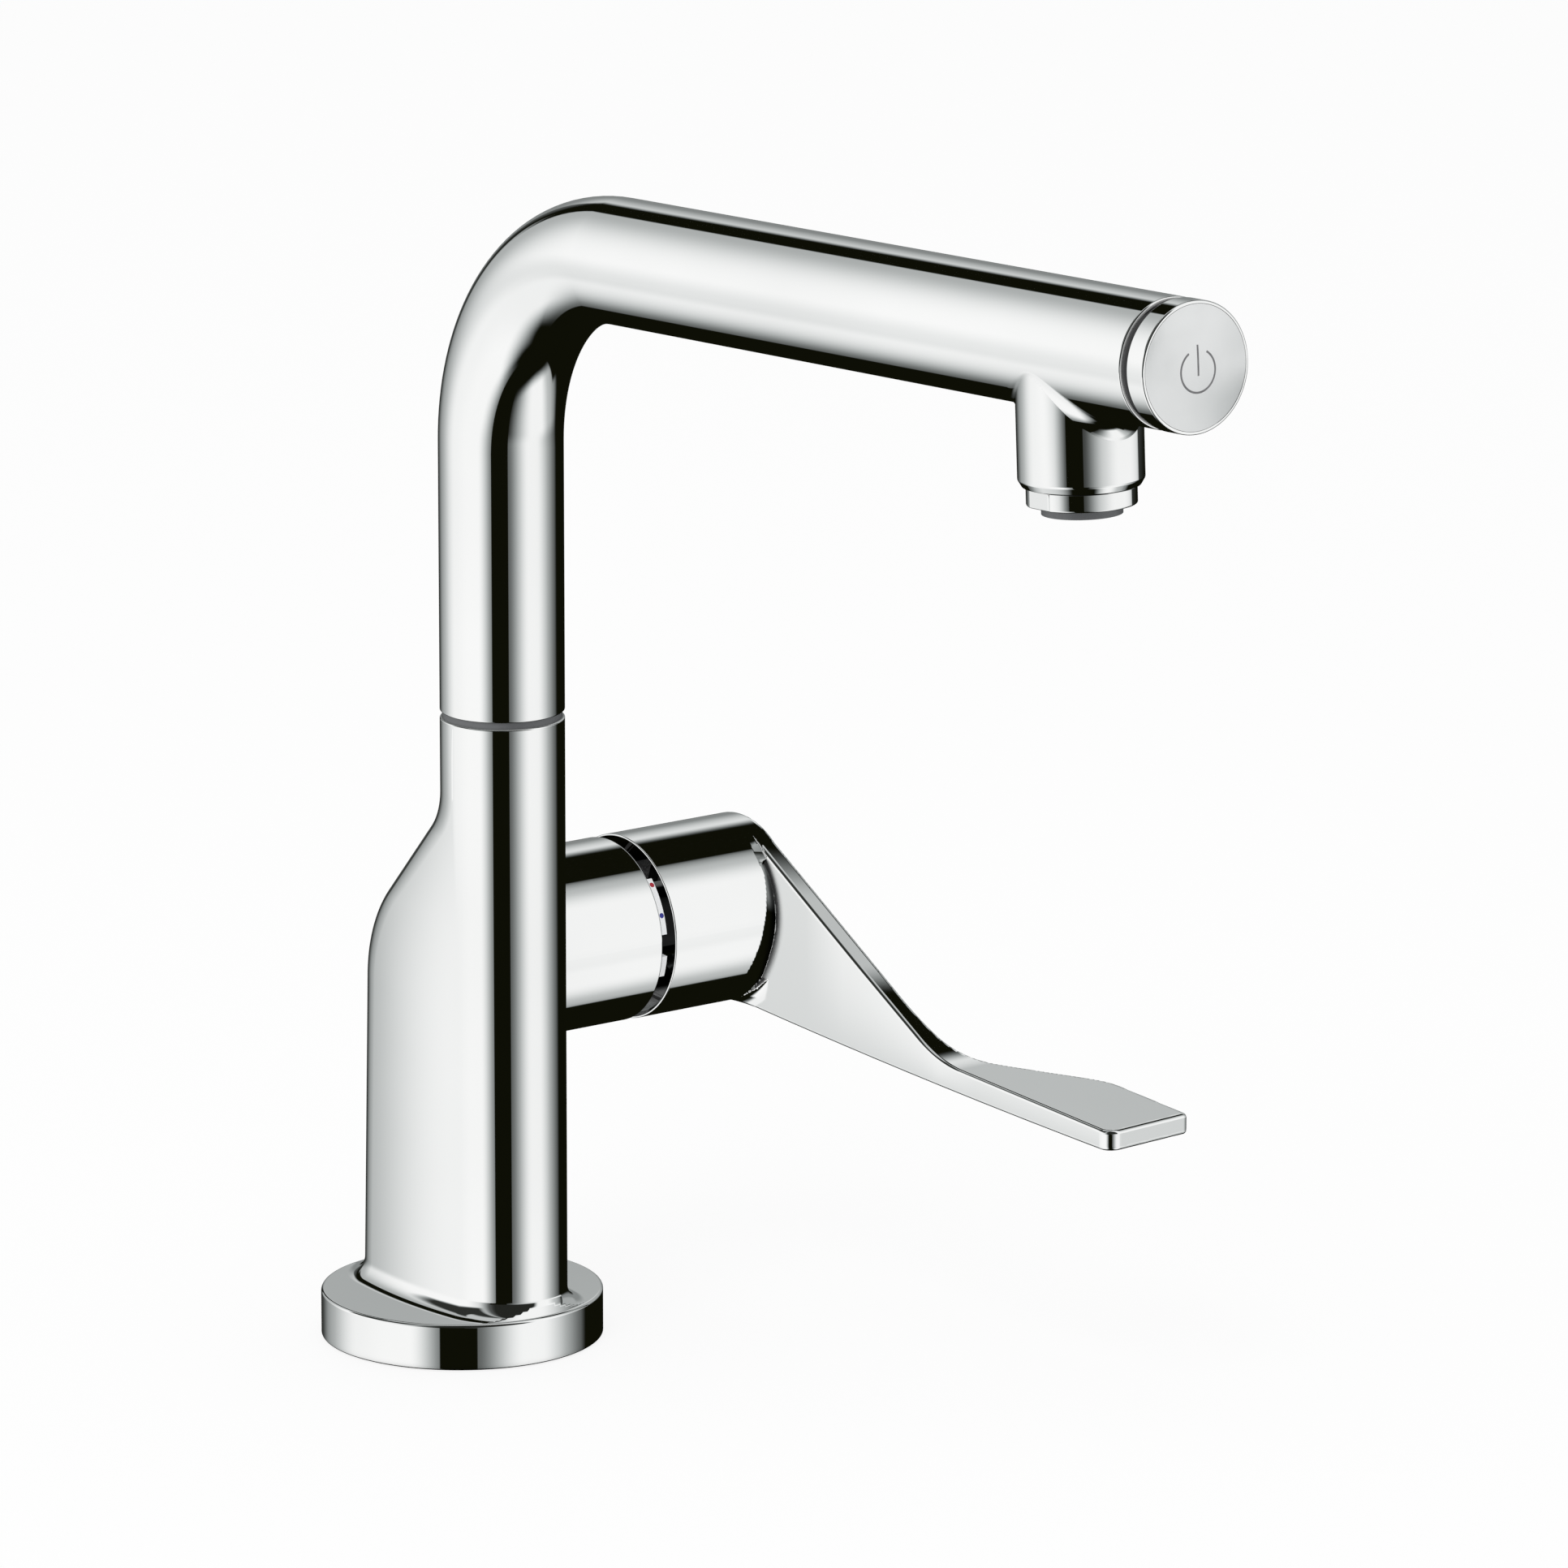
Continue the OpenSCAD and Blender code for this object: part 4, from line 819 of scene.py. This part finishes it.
class Graph:
    """Builds shader arithmetic as nodes."""

    def __init__(self, tree):
        self.tree = tree

    def put(self, socket, value):
        if isinstance(value, (int, float)):
            socket.default_value = value
        else:
            self.tree.links.new(value, socket)

    def math(self, operation, *values):
        node = self.tree.nodes.new("ShaderNodeMath")
        node.operation = operation
        for socket, value in zip(node.inputs, values):
            self.put(socket, value)
        return node.outputs[0]

    def along(self, vector, direction):
        node = self.tree.nodes.new("ShaderNodeVectorMath")
        node.operation = "DOT_PRODUCT"
        self.tree.links.new(vector, node.inputs[0])
        node.inputs[1].default_value = direction
        return node.outputs["Value"]

    def rise(self, value, low, high):
        """0 up to low and 1 from high, smooth between them. Falls where low is the larger."""
        node = self.tree.nodes.new("ShaderNodeMapRange")
        node.interpolation_type = "SMOOTHSTEP"
        falling = low > high
        node.inputs["From Min"].default_value = high if falling else low
        node.inputs["From Max"].default_value = low if falling else high
        node.inputs["To Min"].default_value = 1.0 if falling else 0.0
        node.inputs["To Max"].default_value = 0.0 if falling else 1.0
        self.tree.links.new(value, node.inputs["Value"])
        return node.outputs["Result"]

    def blend(self, a, b, share):
        return self.math("MULTIPLY_ADD", self.math("SUBTRACT", b, a), share, a)


world = bpy.data.worlds.new("studio")
bpy.context.scene.world = world
world.use_nodes = True
tree = world.node_tree
tree.nodes.clear()
graph = Graph(tree)
coordinates = tree.nodes.new("ShaderNodeTexCoord")
direction = coordinates.outputs["Generated"]
path = tree.nodes.new("ShaderNodeLightPath")
degree = math.pi / 180
DARK = 0.005
# Angles of the mirrored direction: height over the horizon, and turn from the studio's front
front = graph.along(direction, (-0.60232, -0.79826, 0.0))
beside = graph.along(direction, (0.79826, -0.60232, 0.0))
height = graph.math("ARCSINE", graph.along(direction, (0.0, 0.0, 1.0)))
turn = graph.math("ARCTAN2", beside, front)


def climb(value, low, high):
    """graph.rise with its limits in degrees."""
    return graph.rise(value, low * degree, high * degree)


def both(a, b):
    return graph.math("MULTIPLY", a, b)


def between(value, middle, half, soft):
    """1 within half of the middle, with soft edges, all in degrees."""
    away = graph.math("ABSOLUTE", graph.math("SUBTRACT", value, middle * degree))
    return climb(away, half + soft, half - soft)


def panels(*boxes):
    """Soft boxes of light: a level, and the turns where each starts, is full, fades and ends."""
    total = 0.0
    for level, start, full, fade, end in boxes:
        lit = both(climb(turn, start, full), climb(turn, end, fade))
        total = graph.math("MULTIPLY_ADD", lit, level, total)
    return graph.math("MAXIMUM", total, DARK)


# The panels at the tap's own height, below it and above it, each on the left and on the right
level_on = panels(
    (0.12, -176, -140, 60, 120), (0.27, -158, -132, -43, -10), (0.56, -138, -94, -43, -10),
    (0.05, -100, -60, -43, -10), (0.38, 12, 54, 70, 98), (0.36, 12, 54, 86, 120), (0.1, 12, 54, 114, 124),
)
level_under = panels(
    (0.12, -144, -142, -41, -8), (0.81, -144, -108, -41, -8), (0.07, -100, -60, -41, -8),
    (0.45, 9, 62, 82, 104), (0.3, 9, 62, 102, 120), (0.22, 9, 62, 114, 124),
)
level_over = panels(
    (0.12, -176, -170, -168, -157), (0.45, -157, -152, -52, -22), (0.25, -150, -104, -52, -22),
    (0.3, -146, -104, -76, -36), (0.06, -30, -24, 110, 140), (0.5, 4, 40, 116, 152), (0.4, 24, 72, 96, 144),
)
level = graph.blend(level_on, level_under, climb(height, -17, -26))
slow = climb(height, -13, 5)
quick = climb(height, -11.6, -9.6)
level = graph.blend(level, level_over, graph.blend(slow, quick, climb(turn, -95, -75)))
level = graph.blend(level, level_under, both(climb(turn, 60, 70), climb(height, -8, -4)))
level = graph.blend(level, DARK, both(climb(turn, 111, 114), climb(height, -44, -50)))

# The narrow flag in front, nearer than the panels, so that the outlet shows it further left
middle = both(climb(height, -12.5, -9.5), -10.4 * degree)
stripe = between(graph.math("SUBTRACT", turn, middle), -1.6, 15.4, 0.5)
level = graph.blend(level, DARK, both(stripe, climb(height, 2, -4)))
top = both(graph.math("MINIMUM", graph.math("ADD", turn, 104 * degree), 0.0), 0.8)
top = climb(graph.math("ADD", height, top), 18, 28)
level = graph.blend(level, 0.03, both(top, between(turn, -90, 45, 8)))
level = graph.blend(level, 0.02, both(climb(height, -5, 0), between(turn, 18, 40, 5)))

# The panels' lower edges: long and soft to the left, shorter to the right
off_left = graph.math("POWER", graph.math("MULTIPLY_ADD", turn, 1 / (44 * degree), 72 / 44), 2.0)
off_left = both(graph.math("MINIMUM", off_left, 1.1), -10 * degree)
off_right = graph.math("MINIMUM", graph.math("MULTIPLY_ADD", turn, 1 / (45 * degree), -76 / 45), 0.0)
off_right = both(graph.math("POWER", off_right, 2.0), -8 * degree)
lit_left = climb(graph.math("ADD", height, off_left), -80, -52)
lit_right = climb(graph.math("ADD", height, off_right), -71, -58)
level = graph.blend(DARK, level, graph.blend(lit_left, lit_right, climb(turn, -1, 1)))

# Behind: dark below, a grey wall above, and a bright one straight behind over a sharp edge
turned = graph.math("WRAP", turn, 2 * math.pi, 0.0)
straight = between(turned, 182, 19, 4)
aside = graph.math("SUBTRACT", 1.0, straight)
wall = graph.blend(DARK, 0.25, climb(height, -12, -4))
wall = graph.blend(wall, 0.4, both(climb(height, -2, 6), aside))
wall = graph.blend(wall, 0.79, both(climb(height, 6, 33), straight))
level = graph.blend(level, wall, between(turned, 159, 35, 1))
# The overhead flag, and the pale ceiling beyond it
over = graph.rise(graph.along(direction, (-0.70, -0.043, 0.713)), -0.08, 0.042)
level = graph.blend(level, DARK, both(over, between(turned, 164.5, 44.5, 1)))
level = graph.blend(level, 0.55, both(climb(height, 56, 58.5), graph.rise(front, 0.1, -0.1)))

# Greys a little cool, and blacks a little warm
tone = tree.nodes.new("ShaderNodeCombineColor")
cool = graph.math("MULTIPLY_ADD", level, 1.003, -0.003)
graph.put(tone.inputs["Red"], both(level, graph.math("MULTIPLY_ADD", level, 0.07, 0.93)))
graph.put(tone.inputs["Green"], level)
graph.put(tone.inputs["Blue"], graph.math("MAXIMUM", cool, 0.0))
shown = tree.nodes.new("ShaderNodeMix")
shown.data_type = "RGBA"
graph.put(shown.inputs["Factor"], path.outputs["Is Glossy Ray"])
graph.put(shown.inputs["A"], graph.math("MAXIMUM", path.outputs["Is Camera Ray"], 0.82))
graph.put(shown.inputs["B"], tone.outputs["Color"])
background = tree.nodes.new("ShaderNodeBackground")
background.inputs["Strength"].default_value = 1.0
tree.links.new(shown.outputs["Result"], background.inputs["Color"])
output = tree.nodes.new("ShaderNodeOutputWorld")
tree.links.new(background.outputs["Background"], output.inputs["Surface"])

# Floor, kept out of the chrome so that the panels below the horizon show
floor_mesh = bpy.data.meshes.new("floor")
floor_mesh.from_pydata([(-9, -9, 0), (9, -9, 0), (9, 9, 0), (-9, 9, 0)], [], [(0, 1, 2, 3)])
floor = bpy.data.objects.new("floor", floor_mesh)
floor.location = (0, 0, -0.0003)
bpy.context.scene.collection.objects.link(floor)
floor_material = bpy.data.materials.new("floor_paper")
tree, shader = tree_of(floor_material)
graph = Graph(tree)
shader.inputs["Base Color"].default_value = (0.96, 0.96, 0.96, 1)
shader.inputs["Roughness"].default_value = 0.9
shader.inputs["Specular IOR Level"].default_value = 0.1
glow = tree.nodes.new("ShaderNodeEmission")
glow.inputs["Strength"].default_value = 1.0
path = tree.nodes.new("ShaderNodeLightPath")
paper = tree.nodes.new("ShaderNodeMixShader")
tree.links.new(graph.math("MULTIPLY", path.outputs["Is Camera Ray"], 0.85), paper.inputs["Fac"])
tree.links.new(shader.outputs["BSDF"], paper.inputs[1])
tree.links.new(glow.outputs["Emission"], paper.inputs[2])
output = next(node for node in tree.nodes if node.type == "OUTPUT_MATERIAL")
tree.links.new(paper.outputs["Shader"], output.inputs["Surface"])
floor_mesh.materials.append(floor_material)

lamp = bpy.data.lights.new("key", "AREA")
lamp.shape = "DISK"
lamp.size = 1.4
lamp.energy = 15
key = bpy.data.objects.new("key", lamp)
aim = Vector((1.2, 0.85, -1.9)).to_track_quat("-Z", "Y").to_matrix().to_4x4()
key.matrix_world = Matrix.Translation((-1.2, -0.9, 2.0)) @ aim
bpy.context.scene.collection.objects.link(key)

# As in the photograph, the chrome shows the studio alone, without the floor, the lamp or the tap
for obj in bpy.data.objects:
    obj.visible_glossy = False

bpy.context.scene.view_settings.view_transform = "Standard"
